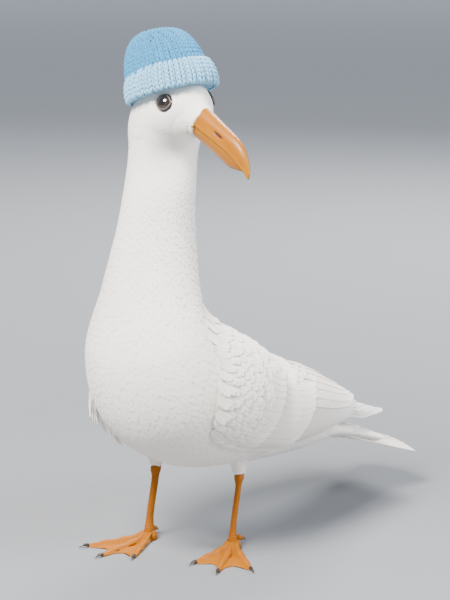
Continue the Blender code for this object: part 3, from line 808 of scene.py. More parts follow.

# Folded wings: rows of coverts, scapulars and tertials over the flight feathers

# the wing feathers' larger fade paints deeper shade towards their roots
wingRow = {"shape": (12, 9), "camber": 0.1, "fringe": 0.018, "base": 0.6, "jitter": 0.02, "lift": 0.05,
           "roundness": 0.2, "tone": (0.86, 1.0), "tipTone": 0.5, "fade": 0.75}
wingPatch = {"fringe": 0.05, "lift": 0.1, "fade": 0.7}


def wayBack(surface, v, root, tip):
    # length over the surface from each root to its tip, both given as u
    share = rowsOf(0, 1, 40)
    path = surface(root + (tip - root) * share, v + 0 * share)
    return np.linalg.norm(np.diff(path, axis=0), axis=-1).sum(0)


def wingFeathers(name, side):
    surface, hand = wingSurface(side), wingSurface(side, handLift)

    def row(title, count, v, root, tip, width, stack, on=surface, material=wingPlumage, sink=0.0008, rise=0.0,
            bulge=0.0, **look):
        # One row of feathers side by side. Each pair is a start and a change from the low edge up. Roots and
        # tips are shares of the way from the wrist to the wing's tip; the bulge makes the middle ones longer.
        share = np.linspace(0, 1, count)
        v, root, tip, stack = (start + change * share for start, change in (v, root, tip, stack))
        length = wayBack(on, v, 1 - root, 1 - tip - bulge * np.sin(math.pi * share))
        coat.append(plumes(f"{title}_{name}", on, 1 - root, v, 0.0, length, width, sink, rise, material,
                           roll=-0.16 * side, stack=stack, **{**wingRow, **look}))

    row("primary_feathers", 7, (0.28, 0.44), (0.5, 0), (1.0, -0.19), 0.0112, (-0.0012, 0.0021), hand,
        flightPlumage, rise=0.0002, shape=(22, 9), roundness=0.3)
    row("secondary_feathers", 12, (0.04, 0.5), (0.46, 0), (0.705, 0.055), 0.0105, (-0.0024, 0.0014),
        material=flightPlumage, shape=(16, 9), roundness=0.14)
    row("tertial_feathers", 6, (0.5, 0.44), (0.44, 0), (0.765, -0.05), 0.0155, (-0.0008, 0.0014),
        rise=0.0004, bulge=0.03, shape=(16, 11), roundness=0.26)
    row("greater_coverts", 12, (0.03, 0.6), (0.3, 0.03), (0.475, 0.06), 0.0095, (-0.0004, 0.0006),
        sink=0.0012, roundness=0.24)
    row("median_coverts", 13, (0.02, 0.64), (0.22, 0.02), (0.335, 0.045), 0.0092, (0.0002, 0.0003),
        sink=0.0018, roundness=0.3)

    u, v = scatter(surface, (0.7, 0.985), (-0.04, 0.84), lambda u, v: 0.0074 - 0.003 * past(u, 0.83, 0.15),
                   lambda u, v: u > 0.775 - 0.05 * v)
    small, upward = 1 - 0.45 * past(u, 0.84, 0.18), 0.45 * side * past(u, 0.86, 0.16)
    coat.append(plumes(f"lesser_coverts_{name}", surface, u, v, upward, 0.0205 * small, 0.0066 * small,
                       0.0022, 0.0004, wingPlumage, shape=(8, 7), camber=0.08, roundness=0.36, jitter=0.06,
                       **wingPatch))
    u, v = scatter(surface, (0.5, 1.07), (0.6, 1.04), 0.0095,
                   lambda u, v: v > 0.6 + 0.25 * np.abs(u - 0.72))
    coat.append(plumes(f"scapular_feathers_{name}", surface, u, v, 0.1 * side, 0.034, 0.01, 0.003,
                       0.0014, wingPlumage, shape=(9, 9), camber=0.16, roundness=0.34, jitter=0.07,
                       **wingPatch))


for name, side in (("left", 1), ("right", -1)):
    wingFeathers(name, side)

# Tail: twelve feathers fanned from the rump, the middle pair on top

tailLook = {"count": 12, "root": (0.0, 0.172, 0.0885), "length": 0.141, "pitch": 18, "halfFan": 0.036,
            "halfWidth": 0.0125, "rootHalf": 0.024, "thick": 0.0005}


def tailFeather(k, t, c):
    # a long vane, round at the tip, arched across, ridged along its shaft, one edge under the next feather
    middle = (tailLook["count"] - 1) / 2
    share = (k - middle) / middle
    rank = abs(share)
    width = tailLook["halfWidth"] * (0.45 + 0.55 * np.sin(np.clip(t / 0.8, 0, 1) * math.pi / 2))
    width = width * np.sqrt(np.clip(1 - past(t, 0.9, 0.11) ** 2.4, 0.02, 1))
    x = share * (tailLook["rootHalf"] + (tailLook["halfFan"] - tailLook["rootHalf"]) * t) + width * c
    ridge = 0.0016 * (1 - rank) - 0.0016 * rank + 0.0011 * np.sign(share) * -c * (t > 0) - 0.0012 * c**2
    ridge = ridge + 0.0006 * np.exp(-(c / 0.1) ** 2) * (1 - 0.6 * t)
    return x, tailLook["length"] * (1 - 0.03 * rank**2) * t, ridge - 0.0035 * share**2 * t


def tailFeathers():
    down = math.radians(tailLook["pitch"])
    sine, cosine = math.sin(down), math.cos(down)
    t, c = rowsOf(0, 1, 26), rowsOf(-1, 1, 9).T
    along = np.concatenate([t[:1], t, t[-1:]])
    across = np.concatenate([c, c[:, ::-1]], 1) + 0 * along
    along = along + 0 * across
    points, tones, patch = [], [], []
    for k in range(tailLook["count"]):
        x, back, z = tailFeather(k, t, c)
        top = np.stack([x, back * cosine + z * sine, -back * sine + z * cosine], -1)
        under = top - np.array([0, sine, cosine]) * tailLook["thick"]
        rings, quads = closedTube(np.concatenate([top, under[:, ::-1]], 1))
        points.append(rings + np.array(tailLook["root"]) + placeOnFloor)
        tones.append(np.full(across.shape, 0.86 + 0.14 * ((k * 7) % 5) / 4))
        patch.append(bakePatch(0.05 + 0.07 * k, 0.5, across, along))
    tones = np.stack(tones)
    values = {"tone": tones, "tip": 0 * tones, "across": across + 0 * tones, "along": along + 0 * tones}
    faces = repeatedFaces(quads, tailLook["count"], across.size)
    coat.append(buildMesh("tail_feathers", np.stack(points), faces, flightPlumage, values, np.stack(patch)))
    coatCount["tail_feathers"] = len(coat[-1].data.polygons) * quad


tailFeathers()

# Short feathers round the top of each leg, down to the heel joint

for name in ("left", "right"):
    surface = thighSurface(name)
    u, v = scatter(surface, (0.06, 0.6), (0.0, fullTurn), lambda u, v: 0.0026 + 0.004 * u)
    coat.append(plumes(f"thigh_feathers_{name}", surface, u, v, 0.0, 0.0078 + 0.01 * u, 0.0022 + 0.003 * u,
                       0.0015, -0.0001, softPlumage, shape=(4, 7)))

# Eyes, each a dark ball with a thin ring of lid round what shows

def eyeMaterial():
    # nearly black, a little lighter and brown in a ring away from the pupil, under a clear wet coat
    material, tree, shader = newMaterial("eye", {
        "Roughness": 0.06, "Coat Weight": 1.0, "Coat Roughness": 0.02, "Specular IOR Level": 0.6})
    iris = ramp(tree, attribute(tree, "iris"), (0.0, (0.004, 0.0035, 0.003)), (0.45, (0.005, 0.004, 0.0035)),
                (0.62, (0.03, 0.016, 0.01)), (1.0, (0.012, 0.008, 0.006)))
    feed(tree, iris, shader.inputs["Base Color"])
    return material


def mottledMaterial(name, roughness, coat, scale, *stops):
    # one dark colour that passes unevenly into another
    material, tree, shader = newMaterial(name, {"Roughness": roughness, "Coat Weight": coat})
    feed(tree, ramp(tree, noise(tree, scale), *stops), shader.inputs["Base Color"])
    return material


def eyePieces(name, centre, angle):
    axis = surfaceFrame(bodySurface, eyeAt, angle)[-1]
    first = unit(np.cross(axis, [0, 0, 1.0]))
    second = np.cross(axis, first)
    radius = eyeLook["radius"]

    def turned(height, x, y):
        return centre + axis * height[..., None] + first * x[..., None] + second * y[..., None]

    flat = eyeLook["flat"] * radius
    polar, turn = rowsOf(0.02, math.pi - 0.02, 26), circleOf(40)
    ball = turned(np.cos(polar) * flat + 0 * turn, np.sin(polar) * np.cos(turn) * radius,
                  np.sin(polar) * np.sin(turn) * radius)
    points, faces = closedTube(ball)
    iris = np.concatenate([[[0.0]], np.sin(polar) / math.sin(eyeLook["iris"]), [[0.0]]]) + 0 * turn
    eye = tidied(buildMesh(f"eyeball_{name}", points, faces, eyeBlack, {"iris": iris}))

    # the lid: a wrinkled ring, drawn out a little at both corners of the eye
    rim = math.asin(eyeLook["rim"])
    around, tubeTurn = circleOf(60).T, circleOf(10)
    thick = eyeLook["lid"] * (1 + 0.18 * np.sin(around * 17) * np.cos(around * 5))
    corner = 1 + 0.1 * np.exp(-((np.cos(around) - 1) / 0.05) ** 2)
    corner = corner + 0.07 * np.exp(-((np.cos(around) + 1) / 0.05) ** 2)
    reach = radius * math.sin(rim) * corner + thick * np.cos(tubeTurn)
    height = radius * math.cos(rim) * (2 - corner) + 0.0002 + thick * 0.8 * np.sin(tubeTurn)
    ring = turned(height, reach * np.cos(around), reach * eyeLook["flat"] * np.sin(around))
    wrapped = np.concatenate([ring, ring[:1]])
    lid = tidied(buildMesh(f"eyelid_{name}", wrapped, gridFaces(*wrapped.shape[:2], wrap=True), lidDark))
    place(eye, "eye", f"eye_{name}")
    place(lid, "eye")


eyeBlack = eyeMaterial()
lidDark = mottledMaterial("lid", 0.55, 0.0, 900.0, (0.3, (0.055, 0.045, 0.042)), (0.7, (0.11, 0.09, 0.085)))
for name, centre, angle in zip(("left", "right"), eyes, eyeAngles):
    eyePieces(name, centre, angle)

# Bill

# the last colour is the near-black of the painted shade in the nostril and the mouth's slit
billLook = {"length": 0.072, "half": 0.0102, "depth": 0.0274, "gonys": 0.64, "hook": 0.0085,
            "underStop": 0.905, "nostril": (0.385, 0.07, 0.065), "nostrilDepth": 0.0015,
            "groove": (0.3, 0.2, 0.16), "grooveDepth": 0.0006, "lip": 0.0003,
            "orange": (0.34, 0.118, 0.0), "deep": (0.27, 0.086, 0.0),
            "pale": (0.42, 0.168, 0.0), "pit": (0.06, 0.01, 0.002)}


def billProfile(t):
    # half width, top, parting and bottom of the bill from its root (0) to its tip (1)
    half = billLook["half"] * (1 - 0.62 * t**1.3) * np.sqrt(np.clip(1 - t**7, 0.004, 1))
    bend = past(t, 0.52, 0.48)
    droop = billLook["hook"] * 1.35 * bend**2.3
    depth = billLook["depth"]
    top = depth / 2 * (1 - 0.05 * np.sin(math.pi * t)) - droop - 0.007 * bend**3
    parting = -0.0015 + 0.0012 * np.sin(math.pi * np.clip(t / 0.8, 0, 1)) - droop * 0.62
    below = past(t, billLook["gonys"], 1 - billLook["gonys"])
    gonys = 1.0 + 0.03 * np.minimum(t / billLook["gonys"], 1) - 0.78 * below**1.15
    return half, top, parting, -depth / 2 * gonys - 0.001 * bend


def billMaterial():
    # horn: deep orange that pales at the tip and the cutting edges, with fine growth lines and painted shade
    # in the nostril
    material, tree, shader = newMaterial("bill", {
        "Specular IOR Level": 0.28, "Coat Roughness": 0.3, "Subsurface Weight": 0.12,
        "Subsurface Radius": (0.003, 0.0012, 0.0004)})
    pit, lines = attribute(tree, "pit"), noise(tree, 420.0, 4.0)
    mottled = colourMix(tree, noise(tree, 140.0), billLook["deep"], billLook["orange"])
    edged = colourMix(tree, attribute(tree, "pale"), mottled, billLook["pale"])
    # painted shade: the nostril and the mouth's slit are darkened to near black
    dark = mathNode(tree, "MINIMUM", 1.0, times(tree, pit, 2.0))
    feed(tree, colourMix(tree, dark, edged, billLook["pit"]), shader.inputs["Base Color"])
    matt = plus(tree, 0.3, times(tree, pit, 0.5))
    feed(tree, plus(tree, matt, times(tree, lines, 0.22)), shader.inputs["Roughness"])
    feed(tree, times(tree, 0.12, minus(tree, 1.0, pit)), shader.inputs["Coat Weight"])
    bump(tree, shader, lines, 0.00012, 0.5)
    return material


def billHalf(name, upper, node):
    # arches across the bill from its root to its tip, closed along the parting
    stop = 1.0 if upper else billLook["underStop"]
    t = stop * (1 - (1 - rowsOf(0, 1, 84)) ** 1.35)
    a = rowsOf(0, math.pi, 49).T
    half, top, parting, bottom = billProfile(t)
    s, c = np.sin(a), np.cos(a)
    lip = np.exp(-(s / 0.16) ** 2)
    if upper:
        edge = parting + 0.0001 - 0.0016 * past(t, 0.92, 0.08) ** 1.5
        rise = np.maximum(top - edge, 0.0006)
        z = edge + rise * s**0.8
        level = (z - edge) / rise - 0.5
        at, long, tall = billLook["nostril"]
        # the nostril is dented, and the same mask paints it dark as shade
        nostril = np.exp(-(((t - at) / long) ** 2) ** 2 - (level / tall) ** 2) * (np.abs(c) > 0.05)
        at, long, tall = billLook["groove"]
        groove = np.exp(-((t - at) / long) ** 2 - (level / tall) ** 2)
        cut = billLook["nostrilDepth"] * nostril + billLook["grooveDepth"] * groove
        y = half * c - np.sign(c) * cut + np.sign(c) * billLook["lip"] * lip
        pale = 0.55 * lip + 0.75 * past(t, 0.86, 0.14)
    else:
        edge = parting - 0.0001
        z = edge - np.maximum(edge - bottom, 0.0008) * s**0.8
        y = 0.94 * half * np.sqrt(np.maximum(1 - (t / stop) ** 8, 0.02)) * c
        nostril = 0 * z
        pale = 0.45 * lip + 0.35 * past(t, 0.8, 0.1)
    x = t * billLook["length"] - 0.0045 * np.clip(1 - t / 0.08, 0, 1) + 0 * a
    root = billRoot + placeOnFloor + billForward * 0.0003
    rings = root + billForward * x[..., None] + billAcross * y[..., None] + billUp * z[..., None]
    place(tube(name, rings, horn, pit=nostril, pale=np.clip(pale + 0 * z, 0, 1)), "bill", node)


def gape(name, side):
    # the corner of the mouth runs back from the bill into the feathers and turns down a little
    t = np.linspace(0, 1, 26)
    u = mark["billRoot"] + 0.05 - 0.38 * t
    v = np.radians(-7 - 8 * t**1.4)
    v = v if side > 0 else math.pi - v
    path = bodySurface(u, v, -0.0002 - 0.0009 * t)
    radius = (0.001 * (1 - t) ** 0.6 + 0.0001)[:, None]
    outward = surfaceFrame(bodySurface, u, v)[-1]
    upward = np.cross(unit(np.gradient(path, axis=0)), outward)
    a = circleOf(14)
    # a dark line down the outer side of the mouth's slit, painted shade
    groove = np.clip(np.cos(a) * 3 - 2.2, 0, 1) + 0 * t[:, None]
    rings = pipe(path, outward, upward, a, 0.7 * radius, radius)
    place(tube(name, rings, horn, pit=0.5 * groove, pale=0 * groove), "bill")


horn = billMaterial()
gape("gape_left", 1)
gape("gape_right", -1)
billHalf("bill_top", True, "bill_upper")
billHalf("bill_under", False, "bill_lower")

# Legs and feet

legLook = {"ankle": 0.075, "foot": 0.0105, "tarsus": (0.0031, 0.0042), "ankleRadius": 0.0056,
           "toes": (0.055, 0.066, 0.062), "spread": (-27, 0, 27), "toeHalf": (0.0044, 0.0026),
           "toeHeight": (0.0062, 0.004), "stem": 0.0058, "web": 0.0013, "rim": 0.0016, "reach": 0.8,
           "hind": 0.01, "hindTurn": 160, "hindHeight": 0.0088, "hindDrop": 0.0042, "hindClaw": 0.55,
           "claw": 0.0085, "clawHeight": 0.0024, "clawRadius": 0.0018, "clawTip": 0.0007,
           "left": {"side": 1, "hub": (0.027, 0.033), "turn": 30, "ankle": (0.028, 0.041)},
           "right": {"side": -1, "hub": (-0.05, 0.0), "turn": 2, "ankle": (-0.049, 0.009)}}


def legMaterial():
    # scaly skin: orange, deeper in the creases between the scutes, slightly uneven in colour
    material, tree, shader = newMaterial("leg", {
        "Roughness": 0.5, "Specular IOR Level": 0.25, "Subsurface Weight": 0.1,
        "Subsurface Radius": (0.003, 0.001, 0.0004)})
    uneven = colourMix(tree, noise(tree, 90.0), (0.3, 0.094, 0.0), (0.37, 0.124, 0.0))
    creased = colourMix(tree, attribute(tree, "crease"), uneven, (0.42, 0.07, 0.002))
    feed(tree, creased, shader.inputs["Base Color"])
    cells = tree.nodes.new("ShaderNodeTexVoronoi")
    cells.feature = "DISTANCE_TO_EDGE"
    cells.inputs["Scale"].default_value = 620.0
    feed(tree, objectPlace(tree), cells.inputs["Vector"])
    grain = mathNode(tree, "MINIMUM", cells.outputs["Distance"], 0.22)
    bump(tree, shader, times(tree, grain, minus(tree, 1.0, attribute(tree, "smoothness"))), 0.0009, 0.6)
    return material


def between(pair, t):
    return pair[0] + (pair[1] - pair[0]) * t


def scales(s, pitch, depth):
    # plates that overlap towards the toes: each rises slowly, then drops at a crease
    phase = (s / pitch) % 1
    rise = phase**0.6 * (1 - past(phase, 0.86, 0.14) ** 2)
    return depth * rise, 1 - np.clip(np.minimum(phase, 1 - phase) / 0.16, 0, 1)


def heading(leg, spread):
    angle = math.radians(leg["turn"] + leg["side"] * spread)
    return np.array([math.sin(angle), -math.cos(angle), 0])


def shank(name, leg):
    # from the foot's hub up to the heel joint and into the belly, wider at both, with plates down the front
    t, a = rowsOf(-0.09, 1.22, 150), circleOf(28)
    c, s = np.cos(a), np.sin(a)
    level = eased(np.clip(t, 0, 1))
    hub, top = np.array([*leg["hub"], legLook["foot"]]), np.array([*leg["ankle"], legLook["ankle"]])
    path = hub + (top - hub) * np.concatenate([level, level, t], 1)
    knob, flare = np.exp(-((t - 0.9) / 0.075) ** 2), np.exp(-(np.maximum(t + 0.02, 0) / 0.11) ** 2)
    thin, deep = legLook["tarsus"]
    across = thin + (legLook["ankleRadius"] - thin) * 0.75 * knob + 0.0016 * flare
    ahead = deep + (legLook["ankleRadius"] - deep) * knob + 0.0013 * flare
    front = heading(leg, 0)
    side = np.array([-front[1], front[0], 0])
    shield, heel = np.clip(s * 1.8 - 0.5, 0, 1), np.clip(-s * 1.8 - 0.6, 0, 1)
    length = (top - hub)[2]
    plates, crease = scales(t * length + 0.0004 * c, 0.003, 0.00042)
    small, smallCrease = scales(t * length + 0.0003 * np.sin(3 * a), 0.0017, 0.00022)
    relief = -0.0003 + shield * plates + heel * small
    rings = (path[:, None, :] + side * ((across + relief) * c)[..., None]
             + front * ((ahead + relief) * s + 0.0006 * knob * s**2)[..., None] + placeOnFloor)
    return tube(f"shank_{name}", rings, scaly, crease=0.75 * shield * crease + 0.5 * heel * smallCrease,
                smoothness=shield + 0 * t)


def foot(name, leg):
    # rings from the leg's socket out to the rim: the toes are ridges with the web hung between them
    turn, stem, web = math.radians(leg["turn"]), legLook["stem"], legLook["web"]
    turns = np.radians([leg["side"] * spread for spread in legLook["spread"]])
    order = np.argsort(turns)
    bearings, lengths = turns[order], np.array(legLook["toes"])[order]
    span = np.diff(bearings)[0]
    t = rowsOf(0, 1, 60)
    knuckle = 1 + 0.1 * np.cos(6 * math.pi * t)
    halfToe = between(legLook["toeHalf"], t) * knuckle * (1 - 0.25 * t**10)
    ridge = between(legLook["toeHeight"], t) * knuckle * (1 - 0.45 * t**14)
    columns = []

    def edge(toe, limit=span * 0.36):
        return np.minimum(np.arctan(halfToe / (stem + (lengths[toe] - stem) * t)), limit)

    def put(bearing, reach, height, plate=0.0, smooth=0.3):
        # one spoke of the foot, which rises to the leg's socket near the hub
        r = stem + np.maximum(reach - stem, 0.0012) * t
        blend = np.exp(-(t * reach / 0.0085) ** 1.6)
        bumps, crease = scales(r, 0.0026, 0.00035)
        z = np.maximum(height + plate * (bumps - 0.0002) * (1 - blend), 0.0004)
        z = z + (legLook["foot"] * 0.8 - z) * blend
        angle = turn + bearing
        columns.append((leg["hub"][0] + np.sin(angle) * r, leg["hub"][1] - np.cos(angle) * r, z,
                        plate * crease * (1 - blend) * 0.7 + 0 * r, smooth + 0 * r))

    first, last = edge(0, 0.9), edge(2, 0.9)
    for k in range(3):
        low, high = first if k == 0 else edge(k), last if k == 2 else edge(k)
        for s in np.linspace(-1, 1, 13):
            outer = (k == 0 and s < 0) or (k == 2 and s > 0)
            base = legLook["rim"] if outer else web
            height = base + (ridge - base) * max(1 - abs(s) ** 2.2, 0) ** 0.5
            reach = lengths[k] * (1 - (0.025 if outer else 0.045) * abs(s) ** 2.4)
            put(bearings[k] + (low if s < 0 else high) * s, reach, height, max(1 - abs(s) ** 4 * 1.6, 0),
                0.9 if abs(s) < 0.7 else 0.3)
        if k < 2:
            start, wide = edge(k), span - edge(k) - edge(k + 1)
            mean = (lengths[k] + lengths[k + 1]) / 2
            for share in np.linspace(0, 1, 14)[1:-1]:
                hang = 1 - (1 - legLook["reach"]) * np.sin(math.pi * share) ** 0.55
                sag = np.sin(math.pi * share) * np.clip(3 * t, 0, 1)
                put(bearings[k] + start + wide * share, mean * hang * 0.97,
                    web + 0.00022 * np.sin(t * 46 + 5 * share) * sag, smooth=0.0)
    rest = fullTurn - (bearings[2] + last - bearings[0] + first)
    for share in np.linspace(0, 1, 16)[1:-1]:
        put(bearings[2] + last + rest * share, stem + 0.0018, 0.003, smooth=0.2)
    x, y, z, crease, smooth = (np.concatenate([c[i] for c in columns], 1) for i in range(5))
    rim = np.stack([x[-1:], y[-1:], 0 * z[-1:] + 0.0001], -1)
    rings = np.concatenate([np.stack([x, y, z], -1), rim]) + placeOnFloor
    crease, smooth = (np.concatenate([value, value[-1:]]) for value in (crease, smooth))
    return tube(f"webbed_foot_{name}", rings, scaly, crease=crease, smoothness=smooth)


def taper(name, path, radius, material, columns=12):
    # a round horn or toe along a path of points, thinning as the radii say
    along = unit(np.gradient(path, axis=0))
    side = unit(np.cross(along, [0, 0, 1.0]))
    rings = pipe(path, side, np.cross(side, along), circleOf(columns), radius[:, None], radius[:, None])
    plain = np.zeros((len(path), columns))
    return tube(name, rings, material, crease=plain, smoothness=plain + 0.3)


def clawPath(start, ahead, length, height):
    # a claw's middle line, which bows up a little and comes down to the floor, and its radii
    t = np.linspace(0, 1, 14)
    path = np.array([start[0], start[1], 0]) + np.outer(0.0003 + (t * length) - 0.001 * (1 - t), ahead)
    path[:, 2] = height - ((height - legLook["clawTip"]) * t**1.7 - 0.0009 * np.sin(math.pi * t))
    return path + placeOnFloor, legLook["clawRadius"] * (1 - 0.9 * t**1.2)


def backToe(hub, ahead):
    # the short toe behind, from just outside the leg, sinking as it goes back
    t = np.linspace(0, 1, 30)
    root = hub + ahead * (legLook["stem"] + 0.001) + np.array([0, 0, legLook["hindHeight"]])
    sinking = np.outer(legLook["hindDrop"] * t**1.4, [0, 0, 1])
    path = root + np.outer(t * (legLook["hind"] + 0.0012), ahead) - sinking
    radius = np.interp(t, (0, 0.2, 0.4, 0.8, 0.95, 1), (0.0022, 0.0026, 0.0023, 0.0021, 0.0015, 0.0009))
    return path, radius + scales(t * legLook["hind"], 0.0024, 0.00018)[0]


def legPieces(name):
    leg = legLook[name]
    hub = np.array([*leg["hub"], 0])
    place(shank(name, leg), "leg", f"leg_{name}")
    place(foot(name, leg), "leg", f"foot_{name}")
    for number, (length, spread) in enumerate(zip(legLook["toes"], legLook["spread"]), 1):
        ahead = heading(leg, spread)
        path, radius = clawPath(hub + ahead * length, ahead, legLook["claw"], legLook["clawHeight"])
        place(taper(f"nail_{name}_{number}", path, radius, nail), "claw", f"claw_{name}_{number}")
    ahead = heading(leg, legLook["hindTurn"])
    path, radius = backToe(hub, ahead)
    place(taper(f"back_toe_{name}", path + placeOnFloor, radius, scaly, 16), "leg", f"hind_toe_{name}")
    length = legLook["claw"] * legLook["hindClaw"]
    claw, radius = clawPath(path[-1] + ahead * 0.0002, ahead, length, path[-1][2])
    place(taper(f"nail_{name}_back", claw, radius * 0.8, nail), "claw", f"claw_{name}_hind")


scaly = legMaterial()
nail = mottledMaterial("claw", 0.3, 0.3, 300.0, (0.3, (0.018, 0.014, 0.012)), (0.8, (0.05, 0.036, 0.028)))
legPieces("left")
legPieces("right")
print("eyes, bill and legs")

# Beanie: every stitch is a V of yarn, laid in ribs over a lining

wool = {"crown": ((0.05, 0.3, 0.54), (0.022, 0.165, 0.345), (0.5, 0.8, 1.0, 1.0)),
        "cuff": ((0.3, 0.6, 0.79), (0.165, 0.415, 0.62), (0.8, 0.95, 1.0, 1.0))}


def woolMaterial(name, colour, dark, glow):
    # dyed wool: plies twist round the yarn as slanting waves, their grooves painted darker as shade, the dye
    # a little uneven, fuzz paling the edges
    material, tree, shader = newMaterial(name, {
        "Roughness": 0.85, "Sheen Weight": 0.35, "Sheen Roughness": 0.4, "Sheen Tint": glow,
        "Specular IOR Level": 0.15})
    twist = plus(tree, times(tree, attribute(tree, "along"), 5.0), attribute(tree, "across"))
    plies = mathNode(tree, "SINE", times(tree, twist, 12.566))
    # painted shade along the plies' grooves, with the dye's unevenness from the noise
    shade = plus(tree, times(tree, plies, 0.18), noise(tree, 220.0))
    shade = mathNode(tree, "MAXIMUM", 0.0, mathNode(tree, "MINIMUM", 1.0, shade))
    feed(tree, colourMix(tree, shade, dark, colour), shader.inputs["Base Color"])
    bump(tree, shader, plus(tree, times(tree, plies, 0.6), noise(tree, 2600.0)), 0.00022, 0.7)
    return material


def hatPoint(x, y, z):
    return hatCentre + brim * x[..., None] + hatAcross * y[..., None] + hatUp * z[..., None]


def crownSurface(turn, height, out):
    # the cap's dome: height runs from the brim (0) to the gathered top (1), and the top leans back
    t = np.clip(height, 0, 1)
    angle = t * math.pi / 2 * hatPlace["gathered"]
    shrink = np.cos(angle) ** hatPlace["crownRound"]
    fold = hatPlace["fold"] * np.sin(3 * turn + 4 * height) * np.sin(math.pi * t)
    half = [size + out * np.cos(angle) + fold for size in hatPlace["crownHalf"]]
    x = half[0] * shrink * np.cos(turn) - hatPlace["slouch"] * t**1.3
    return hatPoint(x, half[1] * shrink * np.sin(turn),
                    hatPlace["crownHeight"] * np.sin(angle) + 0.0015 + out * np.sin(angle))


def cuffSurface(turn, height, out):
    # the turned-up band: a soft roll at both edges, leaning in towards the top
    t = np.clip(height, -0.02, 1.02)
    bulge = np.sin(math.pi * (0.04 + 0.92 * np.clip(t, 0, 1))) ** 0.35
    half = [size - 0.006 * (1 - bulge) - lean * t + out
            for size, lean in zip(hatPlace["cuffHalf"], hatPlace["cuffLean"])]
    up = hatPlace["cuffHeight"] * t - 0.001
    return hatPoint(half[0] * np.cos(turn), half[1] * np.sin(turn), up + 0 * turn)


yarn = {"thickness": 0.26, "rings": 7, "sides": 7}


def stitchGrid(counts, look):
    # the turn, height and width of every stitch, every other column a rib, all a little uneven
    first, last = look["span"]
    tall = (last - first) / len(counts)
    column = np.concatenate([np.arange(n) for n in counts])
    row, n = np.repeat(np.arange(len(counts)), counts), np.repeat(counts, counts)
    ribs = np.where(column % 2 == 0, 1.0, -1.0)
    wide = fullTurn / n * (1 + look["spread"] * ribs)
    turn = fullTurn * column / n + rng.normal(0, 0.02, len(n)) * wide
    height = first + (last - first) * (row + 0.5) / len(counts) + rng.normal(0, 0.03, len(n)) * tall
    return turn, height, wide, ribs, tall


def yarnLeg(side, surface, turn, height, wide, tall, base, thick):
    # one bowed leg of each V: rings of round yarn along a path whose foot tucks behind the row below
    s, a = np.linspace(0, 1, yarn["rings"]), circleOf(yarn["sides"])[0]
    bow = 0.55 * np.sin(math.pi * s) - 0.35 * s**3 - 0.5 * (1 - s) ** 3
    turn = turn[:, None] + wide[:, None] * (side * (0.1 + 0.34 * s**0.8))[None, :]
    height = height[:, None] + tall * (-0.62 + 1.3 * s)[None, :]
    path = surface(turn, height, base + thick[:, None] * bow[None, :] * 1.3)
    outside = unit(surface(turn, height, base + 0.002) - surface(turn, height, base))
    along = unit(np.gradient(path, axis=1))
    flank = unit(np.cross(along, outside))
    normal = np.cross(flank, along)
    swell = (0.62 + 0.42 * np.sin(math.pi * np.clip(s * 0.9 + 0.05, 0, 1)) ** 0.6)[None, :, None]
    radius = thick[:, None, None] * swell
    ring = (path[:, :, None, :] + flank[:, :, None, :] * (radius * np.cos(a))[..., None]
            + normal[:, :, None, :] * (radius * 0.85 * np.sin(a))[..., None])
    start, stop = (end.mean(2, keepdims=True).repeat(yarn["sides"], 2) for end in (ring[:, :1], ring[:, -1:]))
    return np.concatenate([start, ring, stop], 1)


def knit(name, surface, counts, look, material):
    # one V for each stitch, both its legs on one grid of yarn rings
    turn, height, wide, ribs, tall = stitchGrid(counts, look)
    count, step = len(turn), 1e-3
    girth = surface(turn + step, height, 0.0) - surface(turn - step, height, 0.0)
    thick = yarn["thickness"] * wide * (np.linalg.norm(girth, axis=-1) / (2 * step))
    thick = np.minimum(thick * rng.uniform(0.94, 1.06, count), look["depth"] * 0.62)
    base = look["depth"] * 0.5 + look["rise"] * ribs[:, None] - thick[:, None]
    legs, tones = [], []
    for side in (-1, 1):
        legs.append(yarnLeg(side, surface, turn, height, wide, tall, base, thick))
        tones.append(rng.uniform(0, 1, count))
    rings, sides = legs[0].shape[1:3]
    one = np.ones((2 * count, rings, sides))
    along = one * np.concatenate([[0], np.linspace(0, 1, yarn["rings"]), [1]])[None, :, None]
    across = one * np.arange(sides) / sides
    root = np.stack([0.02 + 0.96 * (turn / fullTurn % 1), 0.02 + 0.96 * height], -1)
    patch = np.concatenate([root, root])[:, None, None, :] + bakePatch(0, 0, across * 2 - 1, along)
    values = {"along": along, "across": across, "tone": one * np.concatenate(tones)[:, None, None]}
    faces = repeatedFaces(gridFaces(rings, sides, wrap=True), 2 * count, rings * sides)
    thing = buildMesh(name, np.concatenate(legs), faces, material, values, patch)
    print(name, len(thing.data.polygons) * quad)
    return thing


def lining(name, surface, look, material):
    turn, height = circleOf(60), rowsOf(*look["lining"])
    return tube(name, surface(turn + 0 * height, height + 0 * turn, -look["inset"]), material)


crownLook = {"columns": 46, "rows": 15, "span": (0.2, 0.985), "depth": 0.0022, "spread": 0.12,
             "rise": 0.00045, "lining": (0.0, 0.97, 26), "inset": 0.0012, "even": 0.45}
cuffLook = {"columns": 52, "rows": 6, "span": (0.02, 0.98), "depth": 0.0026, "spread": 0.16, "rise": 0.0008,
            "lining": (0.05, 0.95, 14), "inset": 0.0016}


def crownCount(row):
    # an even number of stitches, fewer where the dome narrows above its even part
    share = (row + 0.5) / crownLook["rows"]
    if share <= crownLook["even"]:
        return 2 * round(crownLook["columns"] / 2)
    angle = min(share * 1.02, 1) * math.pi / 2 * hatPlace["gathered"]
    narrow = math.cos(angle) ** hatPlace["crownRound"]
    return max(6, 2 * round(crownLook["columns"] * narrow / 2))


